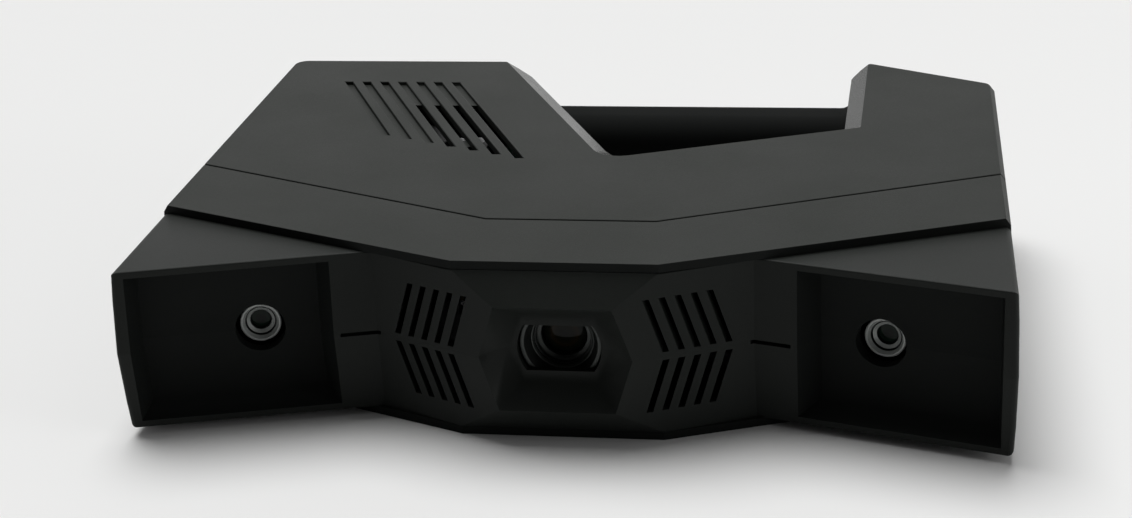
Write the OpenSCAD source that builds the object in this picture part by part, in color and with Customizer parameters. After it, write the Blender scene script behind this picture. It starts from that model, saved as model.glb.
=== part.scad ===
// Handheld structured-light scanner: two toed-in cameras and a projector in a
// split plastic case with a handle bar across the back.
// X runs along the case, the optics face -Y, and Z is the height as it lies flat.

/* [Case] */
// Length of the case at its flat faces
case_l = 300; // [270:1:330]
// Height between the two flat cover faces
case_h = 65.5; // [60:0.5:72]
// Distance from the pod corners to the back of the lobes
case_d = 214; // [205:1:235]
// Wall thickness of the moulded shells
wall = 3; // [2.5:0.1:3.5]
// Bulge of the end walls at the parting plane
bulge = 2.7; // [0.5:0.1:4]
// Step from the cover face down to the camera pods
pod_step = 3; // [2.5:0.1:4]
// Width of the chamfer around the finger gap
gap_chamfer = 6.6; // [5:0.1:7]
// Width of that chamfer along the long lobe
lobe_chamfer = 8.1; // [6:0.1:10]
// Drop of that chamfer
gap_drop = 5.5; // [4:0.1:7]
// Width of the open seam between band and rear shell
seam = 0.9; // [0.5:0.1:1.5]

/* [Optics] */
// Toe-in angle of each camera pod
toe_in = 15; // [12:0.5:17]
// Distance of each camera axis from the middle
camera_x = 108.3; // [105:0.1:111]
// Depth of the hood recess in front of each camera
hood_depth = 12; // [9:0.5:13]
// Radius of the clearance hole around each lens
lens_hole_r = 8.8; // [8:0.1:9.5]
// Depth of the hexagonal projector funnel behind the pod corners
funnel_y = 11.2; // [9:0.1:12]
// Radius of the projector opening
projector_r = 14.5; // [14.3:0.1:15.5]

/* [Vents] */
// Number of chevron slots on each side of the projector
chevrons = 5; // [3:1:5]
// Width of a chevron slot
chevron_w = 2.1; // [1:0.1:2.5]
// Number of slanted slots in each lobe cover
lobe_slots = 7; // [3:1:7]
// Width of a lobe slot
lobe_slot_w = 3; // [1.5:0.1:4]
// Number of those slots that open into the case
open_slots = 4; // [2:1:4]
// Depth of the slots where they are blind
slot_depth = 1.4; // [0.8:0.1:2]

/* [Handle] */
// Height of the handle grip
grip_h = 36; // [30:1:38]
// Depth of the handle grip
grip_d = 28.5; // [26:0.5:30]
// Flare of the grip where it meets the short lobe
flare_r = 4; // [2:0.5:5]

/* [Mount] */
// Radius of the tripod thread
thread_r = 3.175; // [2.5:0.005:3.2]
// Depth of the tripod thread
thread_l = 9; // [7:0.5:10]
// Travel of the scan button
button_travel = 1.5; // [0.8:0.1:1.6]
// Tilt of the power rocker from the middle to either side
rocker_tilt = 9; // [5:0.5:10]

/* [Hidden] */
$fn = 48;
half_l = case_l / 2;
half_h = case_h / 2;
face_in = half_h - wall;
pod_top = half_h - pod_step - 0.1;
toe = tan(toe_in);
fit = 0.05;
eps = 0.5;

// Plan of the cover face, from the front bulge round to the finger gap and back
front_w = 35.2;
front_y = 9;
end_y = 53;
end_taper = 0.03;
lobe_x = 96;
gap_d = [lobe_x, 139.8];
gap_c = [2.5, 104.4];
gap_b = [-53.5, case_d];
slant_y = 190;
seam_mid = [30, 45.7];
seam_end_y = 95;
front_slope = (end_y - front_y) / (half_l - front_w);
seam_slope = (seam_end_y - seam_mid[1]) / (half_l - seam_mid[0]);

// Front of the bezel: ridge of the pods, apex of the vent facets, hexagon corner
ridge = 2.5;
apex = [26.2, 2.6];
vent_slope = 0.45;
vent_lean = 0.076;
hex_x = 20;
hex_z = 19.2;
hood_in = 80;
hood_z = 27.2;

// The case sits on its lower face, centred on its own box
front_most = pod_y(half_l + bulge, 0);
back_most = case_d + bulge;
mid_y = (front_most + back_most) / 2;

// Places inside the case
bench_top = -15;
bench_t = 5;
fan_at = [-78, 150];
fan_size = 60;
fan_z = 9;
fan_h = 15;
fan_hole = 25;
bar_y = case_d - 4 - grip_d / 2;
core = [20, 16];
button_x = 72;
board_z = -14;
plate_y = 206;
rocker_at = [-93, plate_y + 1];
tripod_y = 29.5;
case_bosses = [[-137, 190], [-66, 197], [110, 192], [136, 110], [-137, 110], [60, 114]];
bezel_bosses = [[-142, 38], [142, 38], [-74, 30], [74, 30]];
bench_posts = [[-45, 72], [45, 72]];
board_posts = [[-122, 94], [-54, 94], [-122, 172], [-54, 172]];
boss_r = 4;
screw_r = 1.5;
head_r = 2.8;
head_h = 2.4;
screw_seat = -8;

shell_colour = "#3c3e3b";
bezel_colour = "#242625";
grip_colour = "#1b1c1c";
metal = "#9da1a4";
dark_metal = "#35383a";
steel = "#b9bcbf";
brass = "#b08d4a";
glass = "#11151c";
board = "#1f5a38";
black = "#161616";

// Plane geometry
function unit(v) = v / norm(v);
function cross2(a, b) = a[0] * b[1] - a[1] * b[0];
function left_of(v) = [-v[1], v[0]];
function turned(v, a) = [v[0] * cos(a) - v[1] * sin(a), v[0] * sin(a) + v[1] * cos(a)];
function meet(p, d, q, e) = p + d * cross2(q - p, e) / cross2(d, e);
function before(list, i) = list[(i + len(list) - 1) % len(list)];
function after(list, i) = list[(i + 1) % len(list)];

// Moves edge i of an anticlockwise outline inwards by depths[i]
function inset(pts, depths) = [
  for (i = [0 : len(pts) - 1])
    let (
      p = pts[i],
      u = unit(p - before(pts, i)),
      w = unit(after(pts, i) - p),
      a = p + left_of(u) * before(depths, i),
      b = p + left_of(w) * depths[i]
    )
    meet(a, u, b, w)
];

// Replaces corner i by an arc of radius radii[i]
function rounded(pts, radii, steps = 5) = [
  for (i = [0 : len(pts) - 1])
    let (
      p = pts[i],
      r = radii[i],
      u = unit(p - before(pts, i)),
      w = unit(after(pts, i) - p),
      side = sign(cross2(u, w)),
      turn = acos(u * w),
      start = p - u * r * tan(turn / 2),
      centre = start + left_of(u) * r * side
    )
    each r == 0 ? [p]
      : [for (k = [0 : steps]) centre + turned(start - centre, side * turn * k / steps)]
];

// Front surfaces of the bezel at a place x > 0 and a height z >= 0
function pod_y(x, z) = toe * (half_l - x) - ridge * (1 - z / pod_top);
function vent_y(x, z) = apex[1] + vent_slope * (x - apex[0]) + vent_lean * z;
function crease_x(z) =
  (toe * half_l - ridge * (1 - z / pod_top) - apex[1] + vent_slope * apex[0] - vent_lean * z)
  / (toe + vent_slope);
function end_x(y) = half_l - end_taper * y;
// Bulge of the end and back walls at height z: nearly upright, then rounding inwards
function end_bulge(z) = bulge * (1 - 0.3 * pow(z / pod_top, 2));
function band_y(x) = front_y + front_slope * max(0, abs(x) - front_w);
function mirrored_x(pts) = [for (i = [len(pts) - 1 : -1 : 0]) [-pts[i][0], pts[i][1]]];

// Splits an anticlockwise outline, given as indices into pts, one ear at a time
function covers(a, b, c, p) =
  cross2(b - a, p - a) >= 0 && cross2(c - b, p - b) >= 0 && cross2(a - c, p - c) >= 0;
function is_ear(pts, ids, i) =
  let (a = before(ids, i), b = ids[i], c = after(ids, i))
  cross2(pts[b] - pts[a], pts[c] - pts[b]) > 0
  && len([for (k = ids)
       if (k != a && k != b && k != c && covers(pts[a], pts[b], pts[c], pts[k])) k]) == 0;
function first_ear(pts, ids, i = 0) =
  is_ear(pts, ids, i) || i == len(ids) - 1 ? i : first_ear(pts, ids, i + 1);
function ears(pts, ids) =
  len(ids) == 3 ? [ids]
  : let (i = first_ear(pts, ids))
    concat(
      [[before(ids, i), ids[i], after(ids, i)]],
      ears(pts, [for (k = [0 : len(ids) - 1]) if (k != i) ids[k]])
    );

// Solid through rings of points, given from the lowest ring to the highest.
// Level rings may be concave; twisted sides are split into triangles.
module loft(rings, level = false, twisted = false) {
  n = len(rings[0]);
  last = len(rings) - 1;
  sides = [
    for (k = [0 : last - 1])
      for (i = [0 : n - 1])
        let (
          j = (i + 1) % n,
          quad = [k * n + j, k * n + i, (k + 1) * n + i, (k + 1) * n + j]
        )
        each twisted ? [[quad[0], quad[1], quad[2]], [quad[0], quad[2], quad[3]]] : [quad]
  ];
  all = [for (i = [0 : n - 1]) i];
  bottom = level ? ears(rings[0], all) : [all];
  top = [
    for (cap = level ? ears(rings[last], all) : [all])
      [for (i = [len(cap) - 1 : -1 : 0]) last * n + cap[i]]
  ];
  polyhedron([for (ring = rings) each ring], concat(bottom, sides, top), convexity = 8);
}

function at_height(pts, z) = [for (p = pts) [p[0], p[1], z]];

module placed() {
  translate([0, -mid_y, half_h])
    children();
}

module upside_down() {
  mirror([0, 0, 1])
    children();
}

// Extrudes a plan between two heights
module slab(z0, z1) {
  translate([0, 0, z0])
    linear_extrude(z1 - z0)
      children();
}

module box_between(a, b) {
  translate(a)
    cube(b - a);
}

module post(at, r, z0, z1) {
  translate([at[0], at[1], z0])
    cylinder(r = r, h = z1 - z0);
}

// Round bar along +Y from y0 to y1
module rod_y(r, y0, y1) {
  translate([0, y0, 0])
    rotate([-90, 0, 0])
      cylinder(r = r, h = y1 - y0);
}

// Ring turned about the Y axis from a profile of [radius, y] points
module turned_y(profile) {
  rotate([-90, 0, 0])
    rotate_extrude()
      polygon(profile);
}

// Flexible lead: an eight-sided tube along hand-chosen points
lead_sides = 8;
lead_up = unit([0.31, 0.52, 0.79]);

function lead_ring(points, i, r) =
  let (
    back = i == 0 ? [0, 0, 0] : unit(points[i] - points[i - 1]),
    ahead = i == len(points) - 1 ? [0, 0, 0] : unit(points[i + 1] - points[i]),
    t = unit(back + ahead),
    u = unit(cross(lead_up, t)),
    v = cross(t, u)
  )
  [for (k = [0 : lead_sides - 1])
    let (a = 360 * k / lead_sides)
    points[i] + r * (cos(a) * u + sin(a) * v)];

module lead(points, r) {
  loft([for (i = [0 : len(points) - 1]) lead_ring(points, i, r)], twisted = true);
}

module screw(at, head_z, tip_z) {
  down = sign(head_z - tip_z);
  post(at, screw_r, min(head_z, tip_z), max(head_z, tip_z));
  post(at, head_r, min(head_z, head_z + down * head_h), max(head_z, head_z + down * head_h));
}

// Covers

// Corners behind the front edge, shared by the outside and the cavity
cover_back = [
  [end_x(slant_y), slant_y], [lobe_x, case_d], gap_d, gap_c, gap_b, [-end_x(case_d), case_d]
];
cover_corners = concat(
  [[front_w, front_y], [end_x(end_y), end_y]],
  cover_back,
  [[-end_x(end_y), end_y], [-front_w, front_y]]
);

// Corner radii at the cover face and below the chamfer of the gap
face_radii = [0, 0, 4, 1, 1.5, 11, 1.5, 5, 0, 0];
wall_radii = [0, 0, 4, 6.2, 1.5, 16, 10, 5, 0, 0];
gap_edges = [gap_chamfer, gap_chamfer, lobe_chamfer];
edge_drop = 2.8;

// Outline at height z: the ends and the back moved out by end_out, the gap by a
// part k of its chamfer
function cover_ring(z, end_out, k) = at_height(
  rounded(
    inset(
      cover_corners,
      concat(
        [0, -end_out, -end_out], -k * gap_edges, [-end_out, -end_out, 0, 0]
      )
    ),
    face_radii + k * (wall_radii - face_radii)
  ),
  z
);

// The cavity runs on past the front edge, so the covers have no front wall
open_y = -30;
cavity_corners = concat([[end_x(open_y), open_y]], cover_back, [[-end_x(open_y), open_y]]);
cavity_radii = [0, 3, 4, 6, 10, 5, 4, 0];

function cavity_ring(z, gap_in) =
  let (end_in = wall - bulge * (1 - max(z, 0) / face_in))
  at_height(
    rounded(
      inset(cavity_corners, concat([end_in, end_in], gap_in, [end_in, end_in, 0])),
      cavity_radii
    ),
    z
  );

// Depth behind the upright gap walls, and behind their chamfers at the cover
upright_in = [for (w = gap_edges) wall - w];
sloped_in = [for (w = gap_edges) wall * (norm([w, gap_drop]) - w) / gap_drop];

module cover_half() {
  low = half_h - gap_drop;
  edge = half_h - edge_drop;
  difference() {
    loft([
      cover_ring(0, bulge, 1),
      cover_ring(hex_z, end_bulge(hex_z), 1),
      cover_ring(low, end_bulge(low), 1),
      cover_ring(edge, end_bulge(edge), edge_drop / gap_drop),
      cover_ring(half_h, 0, 0)
    ], level = true);
    loft([
      cavity_ring(-eps, upright_in),
      cavity_ring(low - 1, upright_in),
      cavity_ring(face_in, sloped_in)
    ], level = true);
  }
}

// Region behind the seam, moved back by d
module behind_seam(d) {
  far = 400;
  wide = 200;
  end = seam_mid[1] + seam_slope * (wide - seam_mid[0]);
  polygon([
    [-wide, far], [-wide, end + d], [-seam_mid[0], seam_mid[1] + d],
    [seam_mid[0], seam_mid[1] + d], [wide, end + d], [wide, far]
  ]);
}

// Strip under the band that carries it, between two distances from the seam
module seam_strip(d0, d1) {
  inside = end_x(seam_end_y) - wall - 0.5;
  intersection() {
    difference() {
      behind_seam(d0);
      behind_seam(d1);
    }
    translate([-inside, 0])
      square([2 * inside, case_d]);
  }
}

module band_half() {
  difference() {
    cover_half();
    slab(-1, half_h + 1)
      behind_seam(-seam / 2);
    for (side = [-1, 1])
      translate([side * half_l, end_y - 10, 0])
        translate([-12, 0, -1])
          cube([24, 10.2, face_in + 1]);
  }
}

lobe_step = 7.5;
lobe_back = [-70, 188];
lobe_front = [-28.5, 104];
lobe_rise = 3.75;
open_back = 164;

// Slanted slots in line with the edge of the finger gap, counted from it
module lobe_slot_plan(count) {
  along = lobe_front - lobe_back;
  half = lobe_slot_w / 2 / sin(atan2(-along[1], along[0]));
  for (i = [0 : count - 1])
    let (back = lobe_back - [lobe_step * i, 0], front = lobe_front + i * [-9.4, lobe_rise])
    polygon([back + [-half, 0], front + [-half, 0], front + [half, 0], back + [half, 0]]);
}

// Profile of the handle bar, across its length
function bar_profile(d, h, r) = rounded(
  [[d / 2, -h / 2], [d / 2, h / 2], [-d / 2, h / 2], [-d / 2, -h / 2]],
  [r, r, r, r],
  8
);

module bar_along(profile, x0, x1) {
  translate([x0, bar_y, 0])
    rotate([90, 0, 90])
      linear_extrude(x1 - x0)
        polygon(profile);
}

port_x = [-132, -84];
port_h = 11;

module port_ribs() {
  for (x = [port_x[0] - 6, port_x[1]]) {
    box_between([x, plate_y - 3, 0.05], [x + 6, plate_y - 0.2, face_in + 0.3]);
    box_between([x, plate_y + 2.2, 0.05], [x + 6, case_d - 1, face_in + 0.3]);
  }
}

module rear_half() {
  difference() {
    union() {
      intersection() {
        cover_half();
        slab(-1, half_h + 1)
          behind_seam(seam / 2);
      }
      slab(face_in - 2.7, face_in - 0.1)
        seam_strip(-6, 3);
      slab(face_in - 2.7, face_in + 0.3)
        seam_strip(1, 3);
      port_ribs();
    }
    slab(half_h - slot_depth, half_h + 1)
      lobe_slot_plan(lobe_slots);
    slab(face_in - 0.2, half_h + 1)
      intersection() {
        lobe_slot_plan(min(open_slots, lobe_slots));
        translate([-half_l, 0])
          square([half_l, open_back]);
      }
    bar_along(bar_profile(grip_d + 0.6, grip_h + 0.6, 11), -60, 108);
    box_between([port_x[0], plate_y + 3, -1], [port_x[1], case_d + 9, port_h]);
  }
}

module rear_shell_upper() {
  color(shell_colour) placed() {
    difference() {
      union() {
        rear_half();
        for (at = case_bosses)
          post(at, boss_r, fit, face_in + 0.3);
        for (i = [-1, 1], j = [-1, 1])
          post(fan_at + fan_hole * [i, j], 3.5, fan_z + fan_h, face_in + 0.3);
      }
      for (at = case_bosses)
        post(at, screw_r + fit, -1, 12);
      for (i = [-1, 1], j = [-1, 1])
        post(fan_at + fan_hole * [i, j], screw_r + fit, 20, face_in - 2);
    }
  }
}

module rear_shell_lower() {
  color(shell_colour) placed() {
    difference() {
      union() {
        upside_down()
          rear_half();
        for (at = case_bosses)
          post(at, boss_r, -face_in - 0.3, -fit);
        for (at = bench_posts)
          post(at, boss_r, -face_in - 0.3, bench_top - bench_t);
      }
      for (at = case_bosses) {
        post(at, screw_r + 0.2, -half_h - 1, 1);
        post(at, head_r + 0.3, -half_h - 1, screw_seat);
      }
      for (at = bench_posts)
        post(at, screw_r + fit, -face_in + 1, bench_top);
    }
  }
}

module band_upper() {
  color(shell_colour) placed()
    band_half();
}

module band_lower() {
  color(shell_colour) placed()
    difference() {
      upside_down()
        band_half();
      post([0, tripod_y], 8.2, -half_h - 1, 0);
    }
}

// Front bezel

// Plan of the bezel block at height z, with the given half-width of its middle
function bezel_ring(z, middle_x) =
  let (
    end = half_l + end_bulge(z),
    back = end_y - 0.2,
    lip_x = end_x(end_y) - wall - 0.8,
    right = [
      [middle_x, vent_y(middle_x, z)],
      [crease_x(z), vent_y(crease_x(z), z)],
      [end, pod_y(end, z)],
      [end - end_taper * back, back],
      [lip_x, back],
      [lip_x, band_y(lip_x) + 10],
      [front_w, front_y + 10]
    ]
  )
  at_height(concat(right, mirrored_x(right)), z);

// Corner of the hood recess at depth t behind the pod front
function hood_point(outer, z, t) =
  let (x = outer ? half_l - 2.4 - end_taper * t : hood_in + 7.5 * t / hood_depth)
  [x, pod_y(x, z) + t, z];

// Ring of the recess, seen from the front
function hood_ring(t) =
  let (z = hood_z - 2.5 * t / hood_depth)
  [hood_point(true, -eps, t), hood_point(true, z, t),
   hood_point(false, z, t), hood_point(false, -eps, t)];

module hood_recess() {
  loft([hood_ring(hood_depth), hood_ring(-4)]);
}

// Ring of the projector funnel: k = 0 at its floor, k = 1 at the bezel face
function funnel_ring(k) =
  let (
    floor_apex = [18, funnel_y, 0],
    floor_hex = [13.1, funnel_y, 13],
    a = floor_apex + k * ([apex[0], apex[1], 0] - floor_apex),
    h = floor_hex + k * ([hex_x, vent_y(hex_x, hex_z), hex_z] - floor_hex)
  )
  [[a[0], a[1], -eps], [a[0], a[1], 0], [h[0], h[1], h[2]],
   [-h[0], h[1], h[2]], [-a[0], a[1], 0], [-a[0], a[1], -eps]];

module projector_opening() {
  intersection() {
    rod_y(projector_r, 0, 40);
    box_between([-20, 0, -8.5], [20, 41, 8.5]);
  }
}

chevron_x = 57.7;
chevron_step = 5.1;
chevron_rake = 0.31;
chevron_z = [1.5, 20.9];

// Slots that lean towards the projector away from the parting plane
module chevron_slots() {
  for (i = [0 : chevrons - 1], side = [0, 1])
    let (x = chevron_x - chevron_step * i, half = chevron_w / 2)
    mirror([side, 0, 0])
      translate([0, 45, 0])
        rotate([90, 0, 0])
          linear_extrude(60)
            polygon([
              [x - chevron_rake * chevron_z[0] - half, chevron_z[0]],
              [x - chevron_rake * chevron_z[0] + half, chevron_z[0]],
              [x - chevron_rake * chevron_z[1] + half, chevron_z[1]],
              [x - chevron_rake * chevron_z[1] - half, chevron_z[1]]
            ]);
}

// Space behind the hoods, the vents and the funnel floor
module bezel_cavity() {
  floor_y = hood_depth + wall;
  right = [
    [24, funnel_y + 2.6],
    [30, vent_y(30, pod_top) + wall],
    [66, vent_y(66, pod_top) + wall],
    [hood_in, pod_y(hood_in, pod_top) + wall + 1],
    [hood_in + 7, toe * (half_l - hood_in - 7) + floor_y],
    [half_l - wall, toe * wall + floor_y],
    [half_l - wall - 1.5, 120]
  ];
  slab(-1, pod_top - 2.6)
    polygon(concat(right, mirrored_x(right)));
}

module parting_notch() {
  for (side = [0, 1])
    mirror([side, 0, 0])
      translate([72, pod_y(72, 0), 0])
        rotate([0, 0, -toe_in])
          box_between([-8, -2, -1], [6, 2, 0.7]);
}

module bezel_half() {
  difference() {
    loft([
      bezel_ring(0, apex[0]),
      bezel_ring(hex_z, hex_x),
      bezel_ring(pod_top, front_w)
    ], level = true);
    difference() {
      bezel_cavity();
      for (at = bezel_bosses)
        post(at, boss_r, -2, half_h);
    }
    loft([funnel_ring(0), funnel_ring(1.5)]);
    projector_opening();
    chevron_slots();
    parting_notch();
    for (side = [0, 1])
      mirror([side, 0, 0]) {
        hood_recess();
        on_camera(1)
          rod_y(lens_hole_r, -4, 12);
      }
  }
}

module front_bezel_upper() {
  color(bezel_colour) placed()
    difference() {
      bezel_half();
      for (at = bezel_bosses)
        post(at, screw_r + fit, -1, 12);
    }
}

module front_bezel_lower() {
  color(bezel_colour) placed()
    difference() {
      upside_down()
        bezel_half();
      for (at = bezel_bosses) {
        post(at, screw_r + 0.2, -half_h, 1);
        post(at, head_r + 0.3, -half_h, screw_seat);
      }
    }
}

// The halves are drawn together by screws sunk into the underside
screw_tip = 10;

module case_screws() {
  color(steel) placed()
    for (at = case_bosses)
      screw(at, screw_seat, screw_tip);
}

module bezel_screws() {
  color(steel) placed()
    for (at = bezel_bosses)
      screw(at, screw_seat, screw_tip);
}

// Handle

core_x = [-73, 117];

module handle_core() {
  color(metal) placed()
    difference() {
      bar_along(bar_profile(core[0], core[1], 2), core_x[0], core_x[1]);
      box_between([core_x[0] - 1, bar_y + 3, -4], [button_x + 9, bar_y + core[0], 4]);
      for (i = [1, 2])
        post(case_bosses[i], boss_r + 0.3, -20, 20);
      translate([button_x, 0, 0])
        rod_y(8.4, bar_y + 3, bar_y + 20);
      box_between([102, 199.5, -20], [130, 220, 20]);
    }
}

grip_r = 10.5;

// Flare of the grip against the wall of the short lobe; its back stays flat
module grip_flare() {
  steps = 5;
  translate([lobe_x - gap_chamfer - fit - flare_r, bar_y, 0])
    rotate([90, 0, 90])
      loft([
        for (k = [0 : steps])
          let (a = 90 * k / steps, out = flare_r * (1 - cos(a)))
          at_height(
            [for (p = bar_profile(grip_d + out, grip_h + 2 * out, grip_r + out)) p - [out / 2, 0]],
            flare_r * sin(a)
          )
      ]);
}

module handle_grip() {
  color(grip_colour) placed()
    difference() {
      union() {
        bar_along(bar_profile(grip_d, grip_h, grip_r), -59, 99);
        grip_flare();
      }
      bar_along(bar_profile(core[0] + 0.4, core[1] + 0.4, 2), -70, 110);
      intersection() {
        box_between([-80, 0, -40], [60, 300, 40]);
        slab(-40, 40)
          polygon([gap_b + [-20, 0], gap_b + [2, 0], gap_c + [-2, 0], gap_c + [-40, 0]]);
      }
      translate([button_x, 0, 0]) {
        rod_y(6.9, bar_y, bar_y + 20);
        rod_y(8.2, bar_y, bar_y + core[0] / 2 + 0.2);
      }
    }
}

button_back = bar_y + 7.8;
grip_back = bar_y + grip_d / 2;

module scan_button() {
  color(dark_metal) placed()
    translate([button_x, 0, 0]) {
      rod_y(6.5, button_back, grip_back + 1.2);
      rod_y(7.7, button_back, button_back + 1.6);
    }
}

module scan_switch() {
  color(black) placed()
    translate([button_x, 0, 0]) {
      box_between([-4, bar_y + 3.1, -3.9], [4, bar_y + 5, 3.9]);
      rod_y(1.7, bar_y + 5, button_back - button_travel - 0.35);
    }
}

// Tripod mount and bench

module tripod_block() {
  bore = 5;
  color(metal) placed()
    difference() {
      union() {
        box_between([-17, 20.4, -face_in + 0.1], [17, 38.6, bench_top - bench_t]);
        post([0, tripod_y], 8, -half_h, -face_in + 1);
      }
      post([0, tripod_y], bore, -half_h - 1, 0);
    }
}

module tripod_bush() {
  color(brass) placed()
    difference() {
      post([0, tripod_y], 4.98, -half_h, bench_top - bench_t);
      post([0, tripod_y], thread_r, -half_h - 1, -half_h + thread_l);
    }
}

module optical_bench() {
  color(dark_metal) placed()
    difference() {
      slab(bench_top - bench_t, bench_top)
        difference() {
          union() {
            translate([-136, 42])
              square([272, 38]);
            translate([-25, 20.4])
              square([50, 80]);
          }
          for (side = [-1, 1])
            translate([side * 75 - 12, 52])
              square([24, 18]);
        }
      for (at = bench_posts)
        post(at, screw_r + 0.2, -40, 0);
      for (at = mount_screws)
        post(at, screw_r + 0.2, -40, 0);
    }
}

camera_y = 23;
camera_holes = [[-8, 33], [8, 47]];
projector_holes = [[-18, 58], [18, 58]];

function camera_point(side, p) =
  [side * camera_x, camera_y] + turned([p[0], p[1]], -side * toe_in);
mount_screws = concat(
  [for (side = [-1, 1], p = camera_holes) camera_point(side, p)],
  projector_holes
);

module bench_screws() {
  color(steel) placed() {
    for (at = bench_posts)
      screw(at, bench_top, -face_in + 2);
    for (at = mount_screws)
      screw(at, bench_top - bench_t, bench_top + 6);
  }
}

// Cameras

// Camera frame: Y runs back along the lens axis from the floor of the hood
module on_camera(side) {
  translate([side * camera_x, camera_y, 0])
    rotate([0, 0, -side * toe_in])
      children();
}

cam_w = 29;
ring_front = 2.8;
barrel_front = 9;
housing_front = 24;
housing_back = 52;

module camera_housing(side) {
  color(dark_metal) placed() on_camera(side)
    difference() {
      box_between([-cam_w / 2, housing_front, bench_top], [cam_w / 2, housing_back, cam_w / 2]);
      rod_y(5, housing_front - 1, housing_back - 8);
      box_between([-11, housing_back - 9, -11], [11, housing_back + 1, 11]);
      for (p = camera_holes)
        post(p, screw_r + fit, -30, bench_top + 7);
    }
}

module camera_board(side) {
  color(board) placed() on_camera(side) {
    box_between([-13, housing_back, -13], [13, housing_back + 1.6, 13]);
    box_between([-4, housing_back - 1.2, -3.4], [4, housing_back, 3.4]);
    box_between([-5, housing_back + 1.6, -2.5], [5, housing_back + 6, 2.5]);
  }
}

module lens_barrel(side) {
  color(dark_metal) placed() on_camera(side)
    turned_y([
      [5, barrel_front], [6.8, barrel_front], [6.8, 14], [6.2, 14], [6.2, 15.5], [6.8, 15.5],
      [6.8, housing_front], [5, housing_front]
    ]);
}

module lens_ring(side) {
  color(metal) placed() on_camera(side)
    turned_y([
      [6.3, ring_front], [7.3, ring_front], [7.3, barrel_front], [5.1, barrel_front],
      [5.1, 6.8], [3.9, 6.8], [3.9, 5.8], [5.2, 4.6], [5.2, 4.1]
    ]);
}

module lens_glass(side) {
  color(glass) placed() on_camera(side)
    turned_y([[0, 6.4], [2, 6.55], [3.8, 6.85], [5, 6.9], [5, 8.9], [0, 8.9]]);
}

// Projector

proj_front = 46;
proj_back = 84;

module projector_body() {
  color(dark_metal) placed()
    difference() {
      box_between([-26, proj_front, bench_top], [26, proj_back, 19]);
      rod_y(8, proj_front - 1, proj_back + 1);
      for (at = projector_holes)
        post(at, screw_r + fit, -30, bench_top + 7);
    }
}

module projector_barrel() {
  color(black) placed()
    turned_y([
      [8, 22], [9.6, 22], [9.6, 20], [13.4, 20], [13.4, 30], [12.6, 30], [12.6, 32],
      [13.4, 32], [13.4, proj_front], [9, proj_front], [9, 29], [8.2, 29], [8.2, 24.2], [8, 24]
    ]);
}

module projector_ring() {
  color(dark_metal) placed()
    turned_y([[12.8, 14.2], [14.2, 14.2], [14.2, 20], [10, 20], [10, 19.2], [12, 15.8]]);
}

module projector_glass() {
  color(glass) placed()
    turned_y([[0, 22.6], [3, 22.8], [5.6, 23.4], [7.6, 24.3], [8.1, 24.6], [8.1, 28.8], [0, 28.8]]);
}

module led_board() {
  color(board) placed() {
    box_between([-32, proj_back, bench_top + 1], [20, proj_back + 1.6, 17]);
    box_between([-5, proj_back - 2, -5], [5, proj_back, 5]);
  }
}

module heat_sink() {
  base = proj_back + 1.6;
  fins = 9;
  width = 44;
  fin_step = (width - 1.6) / (fins - 1);
  color(metal) placed() {
    box_between([-width / 2, base, bench_top + 1], [width / 2, base + 3, 18]);
    for (i = [0 : fins - 1])
      translate([-width / 2 + i * fin_step, base + 3, bench_top + 1])
        cube([1.6, 11, 17 - bench_top]);
  }
}

// Fan

fan_bore = 28.7;
hub_r = 13.5;
bearing_r = 3.2;

module fan_frame() {
  color(black) placed() translate([fan_at[0], fan_at[1], fan_z]) {
    difference() {
      linear_extrude(fan_h)
        difference() {
          polygon(rounded(
            fan_size / 2 * [[1, -1], [1, 1], [-1, 1], [-1, -1]], [5, 5, 5, 5]
          ));
          circle(fan_bore);
        }
      for (i = [-1, 1], j = [-1, 1])
        post(fan_hole * [i, j], 2.1, -1, fan_h + 1);
    }
    difference() {
      union() {
        cylinder(r = hub_r, h = 2);
        cylinder(r = bearing_r, h = 10);
        for (a = [0 : 3])
          rotate([0, 0, 45 + 90 * a])
            box_between([hub_r - 1, -2, 0], [fan_bore + 0.6, 2, 2]);
      }
      translate([0, 0, 1])
        cylinder(r = screw_r + fit, h = 20);
    }
  }
}

module fan_rotor() {
  blades = 7;
  pitch = 40;
  color(dark_metal) placed() translate([fan_at[0], fan_at[1], fan_z]) {
    difference() {
      translate([0, 0, 2.5])
        cylinder(r = hub_r, h = fan_h - 3);
      translate([0, 0, 2])
        cylinder(r = hub_r - 1.6, h = fan_h - 4.2);
    }
    translate([0, 0, 1.4])
      cylinder(r = screw_r, h = fan_h - 2.5);
    for (i = [0 : blades - 1])
      rotate([0, 0, 360 / blades * i])
        translate([0, 0, fan_h / 2 + 0.8])
          rotate([pitch, 0, 0])
            translate([hub_r - 0.6, -6.5, -0.6])
              cube([14.4, 13, 1.2]);
  }
}

module fan_screws() {
  color(steel) placed()
    for (i = [-1, 1], j = [-1, 1])
      screw(fan_at + fan_hole * [i, j], fan_z, face_in - 2.5);
}

// Electronics

module main_board() {
  top = board_z + 1.6;
  color(board) placed() {
    difference() {
      box_between([-126, 90, board_z], [-50, 176, top]);
      for (at = board_posts)
        post(at, screw_r + 0.2, -30, 0);
    }
    box_between([-102, 118, top], [-82, 138, top + 2]);
    box_between([-76, 124, top], [-64, 134, top + 1.4]);
    box_between([-104, 95, top], [-94, 101, top + 5]);
    box_between([-62, 101, top], [-54, 107, top + 5]);
    box_between([-62, 113, top], [-54, 119, top + 5]);
    box_between([-114, 114, top], [-106, 120, top + 5]);
    box_between([-84, 168, top], [-76, 174, top + 5]);
    box_between([-116, 166, top], [-106, 172, top + 5]);
    for (i = [0 : 3])
      post([-120, 130 + 8 * i], 3, top, top + 8);
  }
}

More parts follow.
